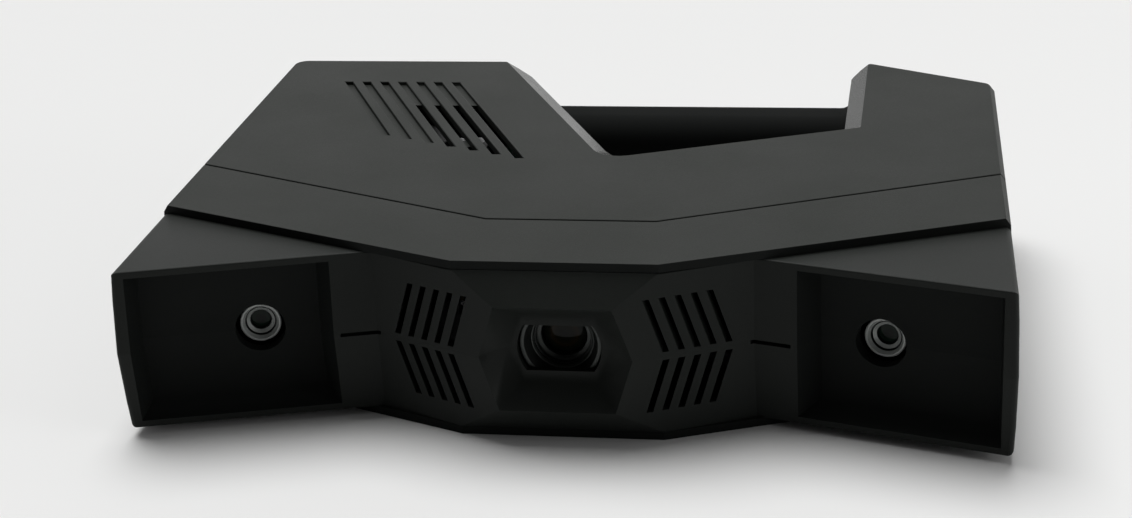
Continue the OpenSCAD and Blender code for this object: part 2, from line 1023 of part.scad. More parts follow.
module board_standoffs() {
  color(brass) placed()
    for (at = board_posts)
      difference() {
        post(at, 2.75, -face_in, board_z);
        post(at, screw_r + fit, -face_in + 4, board_z + 1);
      }
}

module board_screws() {
  color(steel) placed()
    for (at = board_posts)
      screw(at, board_z + 1.6, board_z - 8);
}

module io_board() {
  color(board) placed()
    box_between([-131, 186, -6.6], [-100.2, 203, -5]);
}

module port_plate() {
  color(metal) placed()
    difference() {
      box_between([port_x[0] - 2, plate_y, -13], [port_x[1] + 2, plate_y + 2, 13]);
      box_between([-130.2, plate_y - 1, -5.2], [-117.8, plate_y + 3, 2.2]);
      translate([-109, 0, 0])
        rod_y(4.7, plate_y - 1, plate_y + 3);
      box_between([rocker_at[0] - 5.9, plate_y - 1, -5.2], [rocker_at[0] + 5.9, plate_y + 3, 5.2]);
    }
}

module usb_socket() {
  color(steel) placed()
    difference() {
      box_between([-130, 192, -4.98], [-118, plate_y + 2.6, 2]);
      box_between([-129.2, 196, -3.6], [-118.8, plate_y + 3, 1.2]);
      box_between([-129.2, 196, -4.1], [-118.8, 197, 1.2]);
    }
}

module power_jack() {
  color(black) placed() translate([-109, 0, 0])
    union() {
      difference() {
        rod_y(4.6, 192, plate_y + 2.8);
        rod_y(2.9, 196, plate_y + 4);
      }
      rod_y(1, 195, plate_y + 1.5);
    }
}

module switch_frame() {
  color(black) placed() translate([rocker_at[0], rocker_at[1], 0])
    difference() {
      union() {
        box_between([-5.8, -9, -5], [5.8, 1.2, 5]);
        box_between([-7.6, 1.1, -6.6], [7.6, 2.6, 6.6]);
      }
      box_between([-4.4, -6.5, -4.3], [4.4, 4, 4.3]);
      translate([-5, 0, 0])
        rotate([0, 90, 0])
          cylinder(r = 1.05, h = 10);
    }
}

module power_rocker() {
  color(dark_metal) placed() translate([rocker_at[0], rocker_at[1], 0])
    rotate([-rocker_tilt, 0, 0]) {
      translate([-4, 0, 0])
        rotate([90, 0, 90])
          linear_extrude(8)
            polygon([[-2.2, -1.6], [2.4, -3.5], [3.1, -3.3], [2.3, 0], [3.1, 3.3], [2.4, 3.5], [-2.2, 1.6]]);
      translate([-4.9, 0, 0])
        rotate([0, 90, 0])
          cylinder(r = 1, h = 9.8);
    }
}

// Leads

function behind_camera(side, d) =
  let (p = camera_point(side, [0, housing_back + d]))
  [p[0], p[1], 0];

module camera_lead_left() {
  color(black) placed()
    lead([
      behind_camera(-1, 6.1), behind_camera(-1, 9), [-121, 90, -3], [-115, 96, -8],
      [-109, 98, -10], [-104.1, 98, -10]
    ], 1.4);
}

module camera_lead_right() {
  color(black) placed()
    lead([
      behind_camera(1, 6.1), behind_camera(1, 9), [122, 90, -8], [112, 93, -22],
      [50, 96, -25], [-36, 98, -25],
      [-44, 101, -18], [-48, 104, -9.5], [-53.9, 104, -9.5]
    ], 1.4);
}

module projector_lead() {
  color(black) placed()
    lead([
      [-32.1, 84.8, 8], [-35, 84.8, 8], [-37, 88, 6], [-42, 98, -2], [-49, 116, -9.5], [-53.9, 116, -9.5]
    ], 1.2);
}

module fan_lead() {
  color(black) placed()
    lead([
      [-108.1, 128, 12], [-111, 128, 12], [-114, 125, 8], [-114, 120, 1],
      [-110, 117, -4], [-110, 117, -7.3]
    ], 1);
}

module button_lead() {
  color(black) placed()
    lead([
      [button_x - 4.1, bar_y + 4.1, 0], [-52, bar_y + 4.1, 0], [-59, bar_y + 6.7, 0],
      [-72, bar_y + 6.7, 0], [-76, bar_y + 3, -2], [-77, 192, -4], [-80, 180, -5], [-80, 173, -4],
      [-80, 171, -5.5], [-80, 171, -7.3]
    ], 1);
}

module io_lead() {
  color(black) placed()
    lead([
      [-112, 188, -4.9], [-112, 188, -3], [-112, 185, -1], [-111, 178, -1], [-111, 171, -2],
      [-111, 169, -4], [-111, 169, -7.3]
    ], 1.1);
}

front_bezel_upper();
front_bezel_lower();
band_upper();
band_lower();
rear_shell_upper();
rear_shell_lower();
handle_core();
handle_grip();
case_screws();
bezel_screws();
tripod_block();
tripod_bush();
optical_bench();
bench_screws();
camera_housing(-1);  // camera_housing_left
camera_board(-1);  // camera_board_left
lens_barrel(-1);  // lens_barrel_left
lens_ring(-1);  // lens_ring_left
lens_glass(-1);  // lens_glass_left
camera_housing(1);  // camera_housing_right
camera_board(1);  // camera_board_right
lens_barrel(1);  // lens_barrel_right
lens_ring(1);  // lens_ring_right
lens_glass(1);  // lens_glass_right
projector_body();
projector_barrel();
projector_ring();
projector_glass();
led_board();
heat_sink();
fan_frame();
fan_rotor();
fan_screws();
main_board();
board_standoffs();
board_screws();
io_board();
port_plate();
usb_socket();
power_jack();
switch_frame();
power_rocker();
scan_button();
scan_switch();
camera_lead_left();
camera_lead_right();
projector_lead();
fan_lead();
button_lead();
io_lead();
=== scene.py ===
import math

import bmesh
import bpy
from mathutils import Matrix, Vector


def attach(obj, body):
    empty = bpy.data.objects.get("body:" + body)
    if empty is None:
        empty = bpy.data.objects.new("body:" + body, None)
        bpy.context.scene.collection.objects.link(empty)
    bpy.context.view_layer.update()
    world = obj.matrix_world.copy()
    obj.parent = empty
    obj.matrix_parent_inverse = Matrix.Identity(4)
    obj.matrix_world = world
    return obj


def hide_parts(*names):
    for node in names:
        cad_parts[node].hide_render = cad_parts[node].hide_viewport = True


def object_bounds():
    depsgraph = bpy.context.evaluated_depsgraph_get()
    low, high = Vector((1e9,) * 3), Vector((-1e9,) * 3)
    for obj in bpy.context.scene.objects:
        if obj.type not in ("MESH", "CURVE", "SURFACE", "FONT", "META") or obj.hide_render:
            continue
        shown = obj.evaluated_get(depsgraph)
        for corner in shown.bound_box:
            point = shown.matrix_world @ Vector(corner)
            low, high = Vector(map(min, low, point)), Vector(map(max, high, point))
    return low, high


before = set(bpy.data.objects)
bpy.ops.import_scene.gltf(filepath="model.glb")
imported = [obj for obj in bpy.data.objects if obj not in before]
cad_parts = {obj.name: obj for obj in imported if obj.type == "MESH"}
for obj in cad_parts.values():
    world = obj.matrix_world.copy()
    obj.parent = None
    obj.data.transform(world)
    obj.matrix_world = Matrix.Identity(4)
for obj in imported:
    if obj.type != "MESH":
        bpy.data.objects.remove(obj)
cad_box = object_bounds()


# Optical bench. A flat plate of dark anodised aluminium, milled and bead-blasted, that
# keeps both cameras and the projector in line. Two screws hold it on posts in the case.
MM = 0.001
WELD = 0.001 * MM
FLAT_ANGLE, SMOOTH_ANGLE = math.radians(0.4), math.radians(32)
MID_Y = 106.738
MID_Z = (cad_box[1][2] - cad_box[0][2]) / 2 / MM


def in_case(x, y, z):
    return Vector((x, y - MID_Y, z + MID_Z)) * MM


def in_mm(point):
    return Vector((point[0] / MM, point[1] / MM + MID_Y, point[2] / MM - MID_Z))


def pick(piece):
    bpy.ops.object.select_all(action="DESELECT")
    piece.select_set(True)
    bpy.context.view_layer.objects.active = piece


def edit(piece):
    pick(piece)
    bpy.ops.object.mode_set(mode="EDIT")
    bpy.ops.mesh.select_all(action="DESELECT")


def cad_copy(node, name):
    piece = bpy.data.objects.new(name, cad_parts[node].data.copy())
    bpy.context.scene.collection.objects.link(piece)
    piece.data.name = name
    edit(piece)
    bpy.ops.mesh.select_all(action="SELECT")
    bpy.ops.mesh.remove_doubles(threshold=WELD)
    bpy.ops.mesh.dissolve_limited(angle_limit=FLAT_ANGLE)
    bpy.ops.object.mode_set(mode="OBJECT")
    piece.data.materials.clear()
    return piece


def soften(piece, width, segments=2, angle=30):
    pick(piece)
    bevel = piece.modifiers.new("soften", "BEVEL")
    bevel.width = width * MM
    bevel.segments = segments
    bevel.limit_method = "ANGLE"
    bevel.angle_limit = math.radians(angle)
    bpy.ops.object.modifier_apply(modifier=bevel.name)


def fit_in(piece, body, slot, *nodes):
    pick(piece)
    bpy.ops.object.shade_smooth_by_angle(angle=SMOOTH_ANGLE)
    even = piece.modifiers.new("even_shading", "WEIGHTED_NORMAL")
    even.keep_sharp = True
    bpy.ops.object.modifier_apply(modifier=even.name)
    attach(piece, body)
    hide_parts(*nodes)


def paint(piece, material, where=None):
    piece.data.materials.append(material)
    index = len(piece.data.materials) - 1
    for face in piece.data.polygons:
        if where is None or where(in_mm(face.center), face.normal):
            face.material_index = index


def plain_piece(node, name, slot, material, width, segments=2):
    piece = cad_copy(node, name)
    soften(piece, width, segments)
    paint(piece, material)
    fit_in(piece, "case", slot, node)


def new_group(name, inputs):
    group = bpy.data.node_groups.new(name, "ShaderNodeTree")
    for socket, kind, value in inputs:
        group.interface.new_socket(socket, in_out="INPUT", socket_type=kind).default_value = value
    group.interface.new_socket("Colour", in_out="OUTPUT", socket_type="NodeSocketColor")
    group.interface.new_socket("Roughness", in_out="OUTPUT", socket_type="NodeSocketFloat")
    group.interface.new_socket("Height", in_out="OUTPUT", socket_type="NodeSocketFloat")
    place = group.nodes.new("ShaderNodeTexCoord").outputs["Object"]
    return group, group.nodes.new("NodeGroupInput").outputs, \
        group.nodes.new("NodeGroupOutput").inputs, place


def feed(tree, socket, value):
    if isinstance(value, bpy.types.NodeSocket):
        tree.links.new(value, socket)
    else:
        socket.default_value = value


def noise(tree, place, scale, detail=2.0):
    node = tree.nodes.new("ShaderNodeTexNoise")
    feed(tree, node.inputs["Vector"], place)
    feed(tree, node.inputs["Scale"], scale)
    node.inputs["Detail"].default_value = detail
    return node.outputs["Fac"]


def span(tree, value, low, high, start=0.3, end=0.7):
    node = tree.nodes.new("ShaderNodeMapRange")
    feed(tree, node.inputs["Value"], value)
    node.inputs["From Min"].default_value = start
    node.inputs["From Max"].default_value = end
    node.inputs["To Min"].default_value = low
    node.inputs["To Max"].default_value = high
    return node.outputs["Result"]


def sums(tree, operation, a, b):
    node = tree.nodes.new("ShaderNodeMath")
    node.operation = operation
    feed(tree, node.inputs[0], a)
    feed(tree, node.inputs[1], b)
    return node.outputs["Value"]


def vectors(tree, operation, a, b):
    node = tree.nodes.new("ShaderNodeVectorMath")
    node.operation = operation
    feed(tree, node.inputs[0], a)
    feed(tree, node.inputs["Scale"] if operation == "SCALE" else node.inputs[1], b)
    return node.outputs["Vector"]


def mixed(tree, amount, first, second):
    node = tree.nodes.new("ShaderNodeMix")
    node.data_type = "RGBA"
    feed(tree, node.inputs["Factor"], amount)
    feed(tree, node.inputs[6], first)
    feed(tree, node.inputs[7], second)
    return node.outputs[2]


def new_material(name):
    material = bpy.data.materials.new(name)
    material.use_nodes = True
    tree = material.node_tree
    return material, tree, tree.nodes["Principled BSDF"].inputs


def raise_bumps(tree, shader, height, strength, depth_mm):
    bump = tree.nodes.new("ShaderNodeBump")
    bump.inputs["Strength"].default_value = strength
    bump.inputs["Distance"].default_value = depth_mm * MM
    feed(tree, bump.inputs["Height"], height)
    feed(tree, shader["Normal"], bump.outputs["Normal"])


def finish_of(name, group, metallic, bump_mm, strength=0.35, gloss=0.5, **values):
    material, tree, shader = new_material(name)
    shader["Metallic"].default_value = metallic
    shader["Specular IOR Level"].default_value = gloss
    made = tree.nodes.new("ShaderNodeGroup")
    made.node_tree = group
    for socket, value in values.items():
        made.inputs[socket].default_value = value
    feed(tree, shader["Base Color"], made.outputs["Colour"])
    feed(tree, shader["Roughness"], made.outputs["Roughness"])
    raise_bumps(tree, shader, made.outputs["Height"], strength, bump_mm)
    return material


# Cutter marks run along one axis: Stretch is the scale of their noise along X, Y and Z.
milled, given, made, place = new_group("milled_metal", [
    ("Tone", "NodeSocketColor", (0.5, 0.5, 0.5, 1)),
    ("Satin", "NodeSocketFloat", 0.4),
    ("Stretch", "NodeSocketVector", (60, 900, 900))])
streaks = noise(milled, vectors(milled, "MULTIPLY", place, given["Stretch"]), 1.0, 3.0)
stain = noise(milled, place, 38.0, 3.0)
feed(milled, made["Colour"], vectors(
    milled, "SCALE", given["Tone"],
    sums(milled, "ADD", span(milled, streaks, 0.86, 1.06), span(milled, stain, -0.06, 0.06))))
feed(milled, made["Roughness"], sums(
    milled, "ADD", given["Satin"],
    sums(milled, "ADD", span(milled, streaks, -0.07, 0.07), span(milled, stain, -0.04, 0.05))))
feed(milled, made["Height"], streaks)

dark_anodised = finish_of("dark_anodised", milled, 0.85, 0.03,
                          Tone=(0.045, 0.047, 0.05, 1), Satin=0.42, Stretch=(900, 120, 900))
plain_piece("optical_bench", "bench_plate", "dark_metal", dark_anodised, 0.4)


# Bench screws. Steel socket-cap screws: two hold the bench on its posts from above, and six
# hold the cameras and the projector to it from below. Each is turned and then broached.
SCREW_R, TIP_R, TIP_H = 1.5, 1.0, 0.6
HEAD_R, HEAD_H, HEAD_EDGE = 2.8, 2.4, 0.3
SOCKET_R, SOCKET_FLOOR, DRILL_R, DRILL_TIP = 1.45, 1.1, 0.6, 0.8


def select_ring(piece, radius, height, slack=0.02):
    bpy.ops.mesh.select_all(action="DESELECT")
    mesh = bmesh.from_edit_mesh(piece.data)
    for vert in mesh.verts:
        spot = vert.co / MM
        vert.select = (abs(math.hypot(spot.x, spot.y) - radius) < slack
                       and abs(spot.z - height) < slack)
    mesh.select_flush_mode()
    mesh.select_flush(True)
    bmesh.update_edit_mesh(piece.data)


def pull_ring(piece, steps):
    for (r0, z0), (r1, z1) in zip(steps, steps[1:]):
        select_ring(piece, r0, z0)
        bpy.ops.mesh.extrude_region_move(
            TRANSFORM_OT_translate={"value": (0, 0, (z1 - z0) * MM)})
        if r0 != r1:
            bpy.ops.transform.resize(value=(r1 / r0, r1 / r0, 1), center_override=(0, 0, z1 * MM))
    select_ring(piece, *steps[-1])
    bpy.ops.mesh.edge_face_add()


def face_out():
    bpy.ops.mesh.select_all(action="SELECT")
    bpy.ops.mesh.normals_make_consistent(inside=False)
    bpy.ops.object.mode_set(mode="OBJECT")


def one_screw(name, length):
    bpy.ops.object.select_all(action="DESELECT")
    bpy.ops.mesh.primitive_circle_add(vertices=32, radius=(HEAD_R - HEAD_EDGE) * MM,
                                      location=(0, 0, 0))
    piece = bpy.context.object
    piece.name = name
    bpy.ops.object.mode_set(mode="EDIT")
    bpy.ops.mesh.select_all(action="SELECT")
    bpy.ops.transform.translate(value=(0, 0, HEAD_H * MM))
    bpy.ops.mesh.primitive_circle_add(vertices=6, radius=SOCKET_R * MM,
                                      location=(0, 0, HEAD_H * MM))
    bpy.ops.mesh.select_all(action="SELECT")
    bpy.ops.mesh.bridge_edge_loops()
    pull_ring(piece, [(SOCKET_R, HEAD_H), (SOCKET_R, SOCKET_FLOOR), (DRILL_R, DRILL_TIP)])
    pull_ring(piece, [(HEAD_R - HEAD_EDGE, HEAD_H), (HEAD_R, HEAD_H - HEAD_EDGE), (HEAD_R, 0),
                      (SCREW_R, 0), (SCREW_R, TIP_H - length), (TIP_R, -length)])
    face_out()
    return piece


def join(pieces, name):
    bpy.ops.object.select_all(action="DESELECT")
    for piece in pieces:
        piece.select_set(True)
    bpy.context.view_layer.objects.active = pieces[0]
    bpy.ops.object.join()
    pieces[0].name = name
    pieces[0].data.name = name
    return pieces[0]


def settle(piece, place, turn=(0, 0, 0)):
    pick(piece)
    piece.location = place
    piece.rotation_euler = turn
    bpy.ops.object.transform_apply(location=True, rotation=True, scale=True)


def copy_of(piece, name):
    twin = bpy.data.objects.new(name, piece.data.copy())
    bpy.context.scene.collection.objects.link(twin)
    return twin


def screw_set(name, node, runs):
    screws = []
    for places, seat, tip in runs:
        first = one_screw(name + "_one", abs(tip - seat))
        turn = (0, 0, 0) if tip < seat else (math.pi, 0, 0)
        for x, y in places[1:]:
            screw = copy_of(first, name + "_copy")
            settle(screw, in_case(x, y, seat), turn)
            screws.append(screw)
        settle(first, in_case(*places[0], seat), turn)
        screws.append(first)
    whole = join(screws, name)
    paint(whole, screw_steel)
    fit_in(whole, "case", "steel", node)


TOE_IN = math.radians(15)
CAMERA_X, CAMERA_Y = 108.3, 23.0


def by_camera(side, across, back):
    sine, cosine = math.sin(-side * TOE_IN), math.cos(side * TOE_IN)
    return (side * CAMERA_X + across * cosine - back * sine,
            CAMERA_Y + across * sine + back * cosine)


screw_steel = finish_of("screw_steel", milled, 1.0, 0.02,
                        Tone=(0.42, 0.42, 0.43, 1), Satin=0.32, Stretch=(700, 700, 700))
under_bench = [by_camera(side, *hole) for side in (-1, 1) for hole in ((-8, 33), (8, 47))]
screw_set("bench_screw_set", "bench_screws", [
    ([(-45, 72), (45, 72)], -15, -27.75),
    (under_bench + [(-18, 58), (18, 58)], -20, -9)])


# Tripod socket. A milled aluminium block under the bench, pressed round a brass bush that
# is tapped with a 1/4 inch thread and open at the underside.
bare_aluminium = finish_of("bare_aluminium", milled, 1.0, 0.03,
                           Tone=(0.55, 0.56, 0.57, 1), Satin=0.36, Stretch=(70, 900, 900))
plain_piece("tripod_block", "tripod_mount", "metal", bare_aluminium, 0.35)


def turned(name, profile, sides=72):
    bpy.ops.object.select_all(action="DESELECT")
    bpy.ops.mesh.primitive_circle_add(vertices=len(profile), radius=MM)
    piece = bpy.context.object
    piece.name = name
    piece.data.name = name
    bpy.ops.object.mode_set(mode="EDIT")
    mesh = bmesh.from_edit_mesh(piece.data)
    mesh.verts.ensure_lookup_table()
    for vert, (radius, height) in zip(mesh.verts, profile):
        vert.co = Vector((radius, 0, height)) * MM
    bmesh.update_edit_mesh(piece.data)
    bpy.ops.mesh.select_all(action="SELECT")
    bpy.ops.mesh.spin(steps=sides, angle=math.tau, center=(0, 0, 0), axis=(0, 0, 1))
    bpy.ops.mesh.select_all(action="SELECT")
    bpy.ops.mesh.remove_doubles(threshold=WELD)
    bpy.ops.mesh.delete_loose()
    face_out()
    return piece


TRIPOD_Y = 29.5
BUSH_R, BUSH_H = 4.98, 12.75
THREAD_R, THREAD_DEPTH, THREAD_PITCH, THREAD_TURNS = 3.175, 9.0, 1.27, 6
TOOTH = ((3.3, 0.5), (2.62, 1.0), (3.3, 1.5))
bush = turned("brass_bush", [
    (3.5, 0), (4.7, 0), (BUSH_R, 0.28), (BUSH_R, BUSH_H), (0, BUSH_H), (0, THREAD_DEPTH + 0.9),
    (THREAD_R, THREAD_DEPTH), (THREAD_R, 0.35)], 64)
bpy.ops.object.select_all(action="DESELECT")
bpy.ops.mesh.primitive_circle_add(vertices=3, radius=MM)
thread = bpy.context.object
bpy.ops.object.mode_set(mode="EDIT")
tooth = bmesh.from_edit_mesh(thread.data)
for vert, (radius, height) in zip(tooth.verts, TOOTH):
    vert.co = Vector((radius, 0, height)) * MM
bmesh.update_edit_mesh(thread.data)
bpy.ops.mesh.select_all(action="SELECT")
bpy.ops.mesh.edge_face_add()
bpy.ops.object.mode_set(mode="OBJECT")
helix = thread.modifiers.new("helix", "SCREW")
helix.axis = "Z"
helix.screw_offset = THREAD_PITCH * MM
helix.iterations = THREAD_TURNS
helix.steps = helix.render_steps = 40
bpy.ops.object.modifier_apply(modifier=helix.name)
edit(thread)
face_out()
bush = join([bush, thread], "brass_bush")
settle(bush, in_case(0, TRIPOD_Y, -MID_Z))
brass = finish_of("turned_brass", milled, 1.0, 0.02,
                  Tone=(0.56, 0.40, 0.17, 1), Satin=0.3, Stretch=(300, 300, 2400))
paint(bush, brass)
fit_in(bush, "case", "brass", "tripod_bush")


# Camera housings. Two black anodised blocks, milled from solid, each screwed to the bench.
# The sensor board closes the back and carries the lead's cream socket.
circuit, given, made, place = new_group("circuit_board", [
    ("Tone", "NodeSocketColor", (0.01, 0.09, 0.03, 1)),
    ("Track", "NodeSocketColor", (0.03, 0.17, 0.06, 1))])
cells = circuit.nodes.new("ShaderNodeTexVoronoi")
cells.distance = "MANHATTAN"
cells.feature = "F1"
cells.inputs["Scale"].default_value = 260.0
feed(circuit, cells.inputs["Vector"], place)
bands = circuit.nodes.new("ShaderNodeTexWave")
bands.inputs["Scale"].default_value = 420.0
bands.inputs["Distortion"].default_value = 3.0
feed(circuit, bands.inputs["Vector"], cells.outputs["Position"])
tracks = sums(circuit, "MULTIPLY", span(circuit, bands.outputs["Fac"], 0, 1, 0.45, 0.6),
              span(circuit, cells.outputs["Distance"], 1, 0, 0.3, 0.55))
feed(circuit, made["Colour"], mixed(circuit, tracks, given["Tone"], given["Track"]))
feed(circuit, made["Roughness"], span(circuit, noise(circuit, place, 500.0), 0.28, 0.42))
feed(circuit, made["Height"], tracks)

spark, given, made, place = new_group("spark_texture", [
    ("Tone", "NodeSocketColor", (0.05, 0.05, 0.05, 1)),
    ("Grain", "NodeSocketFloat", 2600.0),
    ("Satin", "NodeSocketFloat", 0.5)])
fine = noise(spark, place, given["Grain"], 3.0)
cloud = noise(spark, place, 21.0, 4.0)
feed(spark, made["Colour"], vectors(
    spark, "SCALE", given["Tone"],
    sums(spark, "ADD", span(spark, cloud, 0.9, 1.02), span(spark, fine, -0.07, 0.09))))
feed(spark, made["Roughness"], sums(
    spark, "ADD", given["Satin"],
    sums(spark, "ADD", span(spark, cloud, -0.05, 0.05), span(spark, fine, -0.05, 0.06))))
feed(spark, made["Height"], fine)

board_green = finish_of("board_green", circuit, 0.0, 0.05, 0.5)
socket_cream = finish_of("socket_cream", spark, 0.0, 0.02, Tone=(0.62, 0.58, 0.48, 1),
                         Grain=1500.0, Satin=0.45)
chip_black = finish_of("chip_black", spark, 0.0, 0.04, Tone=(0.022, 0.022, 0.023, 1),
                       Grain=3200.0, Satin=0.55)
black_anodised = finish_of("black_anodised", milled, 0.7, 0.03,
                           Tone=(0.02, 0.021, 0.022, 1), Satin=0.45, Stretch=(500, 500, 90))
CHIPS_BEFORE, SOCKETS_BEHIND = 51.95, 53.65


def camera_depth(point):
    across, back = abs(point.x) - CAMERA_X, point.y - CAMERA_Y
    return back * math.cos(TOE_IN) + across * math.sin(TOE_IN)


for hand in ("left", "right"):
    plain_piece("camera_housing_" + hand, "camera_block_" + hand, "dark_metal",
                black_anodised, 0.45)
    sensor = cad_copy("camera_board_" + hand, "sensor_board_" + hand)
    soften(sensor, 0.12, 1)
    paint(sensor, board_green)
    paint(sensor, chip_black, lambda p, n: camera_depth(p) < CHIPS_BEFORE)
    paint(sensor, socket_cream, lambda p, n: camera_depth(p) > SOCKETS_BEHIND)
    fit_in(sensor, "case", "board", "camera_board_" + hand)


# Lenses. Each is a black turned barrel with a matt grey stepped ring screwed into its front
# and a coated glass behind the ring, focused and locked when the scanner is set up.
GREY_DEPTH = 5.3
# A wave texture of scale 1 draws each of its rings this wide.
WAVE_PERIOD = 0.314


def about_axis(tree, place, turn):
    centre = tree.nodes.new("ShaderNodeMapping")
    centre.vector_type = "TEXTURE"
    centre.inputs["Location"].default_value = place
    centre.inputs["Rotation"].default_value = (0, 0, turn)
    feed(tree, centre.inputs["Vector"], tree.nodes.new("ShaderNodeTexCoord").outputs["Object"])
    return centre.outputs["Vector"]


def lathe_finish(name, metallic, tone, satin, place, turn, pitch_mm):
    material, tree, shader = new_material(name)
    shader["Metallic"].default_value = metallic
    centred = about_axis(tree, place, turn)
    lines = tree.nodes.new("ShaderNodeTexWave")
    lines.wave_type = "RINGS"
    lines.rings_direction = "Y"
    lines.inputs["Scale"].default_value = WAVE_PERIOD / (pitch_mm * MM)
    lines.inputs["Distortion"].default_value = 0.6
    lines.inputs["Detail"].default_value = 1.0
    feed(tree, lines.inputs["Vector"], centred)
    grain = noise(tree, centred, 900.0, 3.0)
    tint = tree.nodes.new("ShaderNodeRGB")
    tint.outputs[0].default_value = (*tone, 1)
    feed(tree, shader["Base Color"], vectors(
        tree, "SCALE", tint.outputs[0],
        sums(tree, "ADD", span(tree, lines.outputs["Fac"], 0.9, 1.04, 0, 1),
             span(tree, grain, -0.06, 0.06))))
    feed(tree, shader["Roughness"], span(tree, grain, satin - 0.06, satin + 0.06))
    raise_bumps(tree, shader, lines.outputs["Fac"], 0.25, 0.02)
    return material


# Painted reflection: the glass colour is near black with tinted rings at set radii, standing in
# for the coloured reflections of the lens coating.
def glass_with_painted_reflection(name, place, turn, rings):
    material, tree, shader = new_material(name)
    shader["Specular IOR Level"].default_value = 0.1
    centred = about_axis(tree, place, turn)
    length = tree.nodes.new("ShaderNodeVectorMath")
    length.operation = "LENGTH"
    feed(tree, length.inputs[0], vectors(tree, "MULTIPLY", centred, (1, 0, 1)))
    rim, rim_colour = rings[-1]
    ramp = tree.nodes.new("ShaderNodeValToRGB")
    feed(tree, ramp.inputs["Fac"], sums(tree, "DIVIDE", length.outputs["Value"], rim * MM))
    stops = ramp.color_ramp.elements
    stops[0].position, stops[0].color = 0.0, (*rings[0][1], 1)
    stops[1].position, stops[1].color = 1.0, (*rim_colour, 1)
    for radius, colour in rings[1:-1]:
        stops.new(radius / rim).color = (*colour, 1)
    feed(tree, shader["Base Color"], ramp.outputs["Color"])
    feed(tree, shader["Roughness"], span(tree, noise(tree, centred, 300.0), 0.03, 0.07))
    return material


for side, hand in ((-1, "left"), (1, "right")):
    spot = in_case(side * CAMERA_X, CAMERA_Y, 0)
    facing = (math.radians(-90), 0, -side * TOE_IN)
    lens_black = lathe_finish("lens_black_" + hand, 0.6, (0.022, 0.024, 0.024), 0.42,
                              spot, -side * TOE_IN, 0.5)
    lens_grey = lathe_finish("lens_grey_" + hand, 0.3, (0.40, 0.42, 0.405), 0.45,
                             spot, -side * TOE_IN, 0.25)

    barrel = turned("barrel_" + hand, [
        (5, 9), (6.8, 9), (6.8, 14), (6.2, 14), (6.2, 15.5), (6.8, 15.5), (6.8, 18),
        (6.5, 18.2), (6.5, 18.6), (6.8, 18.8), (6.8, 24), (5, 24)])
    soften(barrel, 0.12, 1)
    settle(barrel, spot, facing)
    paint(barrel, lens_black)
    fit_in(barrel, "case", "dark_metal", "lens_barrel_" + hand)

    ring = turned("front_ring_" + hand, [
        (5.1, 9), (5.1, 6.8), (3.6, 6.8), (3.6, 5.9), (3.75, 5.6), (4.95, 4.75), (5.05, 5.5),
        (5.4, 5.5), (5.5, 4.1), (6.2, 3.15), (6.35, 2.8), (7.0, 2.8), (7.3, 3.1), (7.3, 9)])
    soften(ring, 0.07, 1, 20)
    settle(ring, spot, facing)
    paint(ring, lens_black)
    axis = Vector((side * math.sin(TOE_IN), math.cos(TOE_IN), 0))
    middle = in_mm(spot)
    paint(ring, lens_grey, lambda p, n: n.dot(axis) < -0.25
          and (p - middle).dot(axis) < GREY_DEPTH)
    fit_in(ring, "case", "metal", "lens_ring_" + hand)

    glass = turned("front_glass_" + hand, [
        (0, 6.3), (0.8, 6.32), (1.6, 6.38), (2.4, 6.48), (3.1, 6.6), (3.8, 6.76), (4.6, 6.9),
        (5, 6.95), (5, 8.9), (0, 8.9)])
    settle(glass, spot, facing)
    # Painted reflection: a faint green ring in the glass colour.
    paint(glass, glass_with_painted_reflection("lens_reflection_rings_" + hand, spot, -side * TOE_IN, [
        (0, (0.004, 0.005, 0.0045)), (1.5, (0.005, 0.008, 0.006)),
        (2.6, (0.007, 0.016, 0.010)), (3.6, (0.004, 0.006, 0.005)), (5, (0.003, 0.004, 0.004))]))
    fit_in(glass, "case", "lens", "lens_glass_" + hand)


# Projector. A black block on the bench, with a long barrel in front, a stepped ring behind
# the funnel and a large coated glass. Its light board and finned heat sink close the back.
plain_piece("projector_body", "projector_block", "dark_metal", black_anodised, 0.5)

STEP_FROM, STEP_TO, RING_FRONT, RING_STEP, SOCKET_Y = 21.3, 22.1, 14.6, 18.2, 83.95
middle = in_case(0, 0, 0)
ahead = (math.radians(-90), 0, 0)
barrel_black = lathe_finish("barrel_black", 0.4, (0.018, 0.02, 0.019), 0.45, middle, 0, 0.7)
# Painted highlight: the forward faces of the barrel's step and the front ring are painted lighter
# grey where highlight arcs fall on the black metal.
painted_highlight_grey = lathe_finish("painted_highlight_grey", 0.3, (0.048, 0.054, 0.050), 0.45, middle, 0, 0.3)
barrel = turned("projector_tube", [
    (8, 22), (9.1, 22), (9.6, 21.6), (9.6, 20), (13.4, 20), (13.4, 30), (12.6, 30), (12.6, 32),
    (13.4, 32), (13.4, 46), (9, 46), (9, 29), (8.2, 29), (8.2, 24.2), (8, 24)], 96)
soften(barrel, 0.12, 1)
settle(barrel, middle, ahead)
paint(barrel, barrel_black)
# Painted highlight on the barrel's forward step face.
paint(barrel, painted_highlight_grey, lambda p, n: n.y < -0.25 and STEP_FROM < p.y < STEP_TO)
fit_in(barrel, "case", "black", "projector_barrel")

ring = turned("projector_front_ring", [
    (10, 20), (10, 19.3), (10.5, 18.4), (10.9, 18.3), (11.4, 17.0), (11.9, 16.0), (12.7, 14.4),
    (13.0, 14.2), (13.9, 14.2), (14.2, 14.5), (14.2, 20)], 96)
soften(ring, 0.08, 1, 20)
settle(ring, middle, ahead)
paint(ring, barrel_black)
# Painted highlight on the ring's forward faces at its front and at its step.
paint(ring, painted_highlight_grey, lambda p, n: n.y < -0.3 and (p.y < RING_FRONT or p.y > RING_STEP))
fit_in(ring, "case", "dark_metal", "projector_ring")

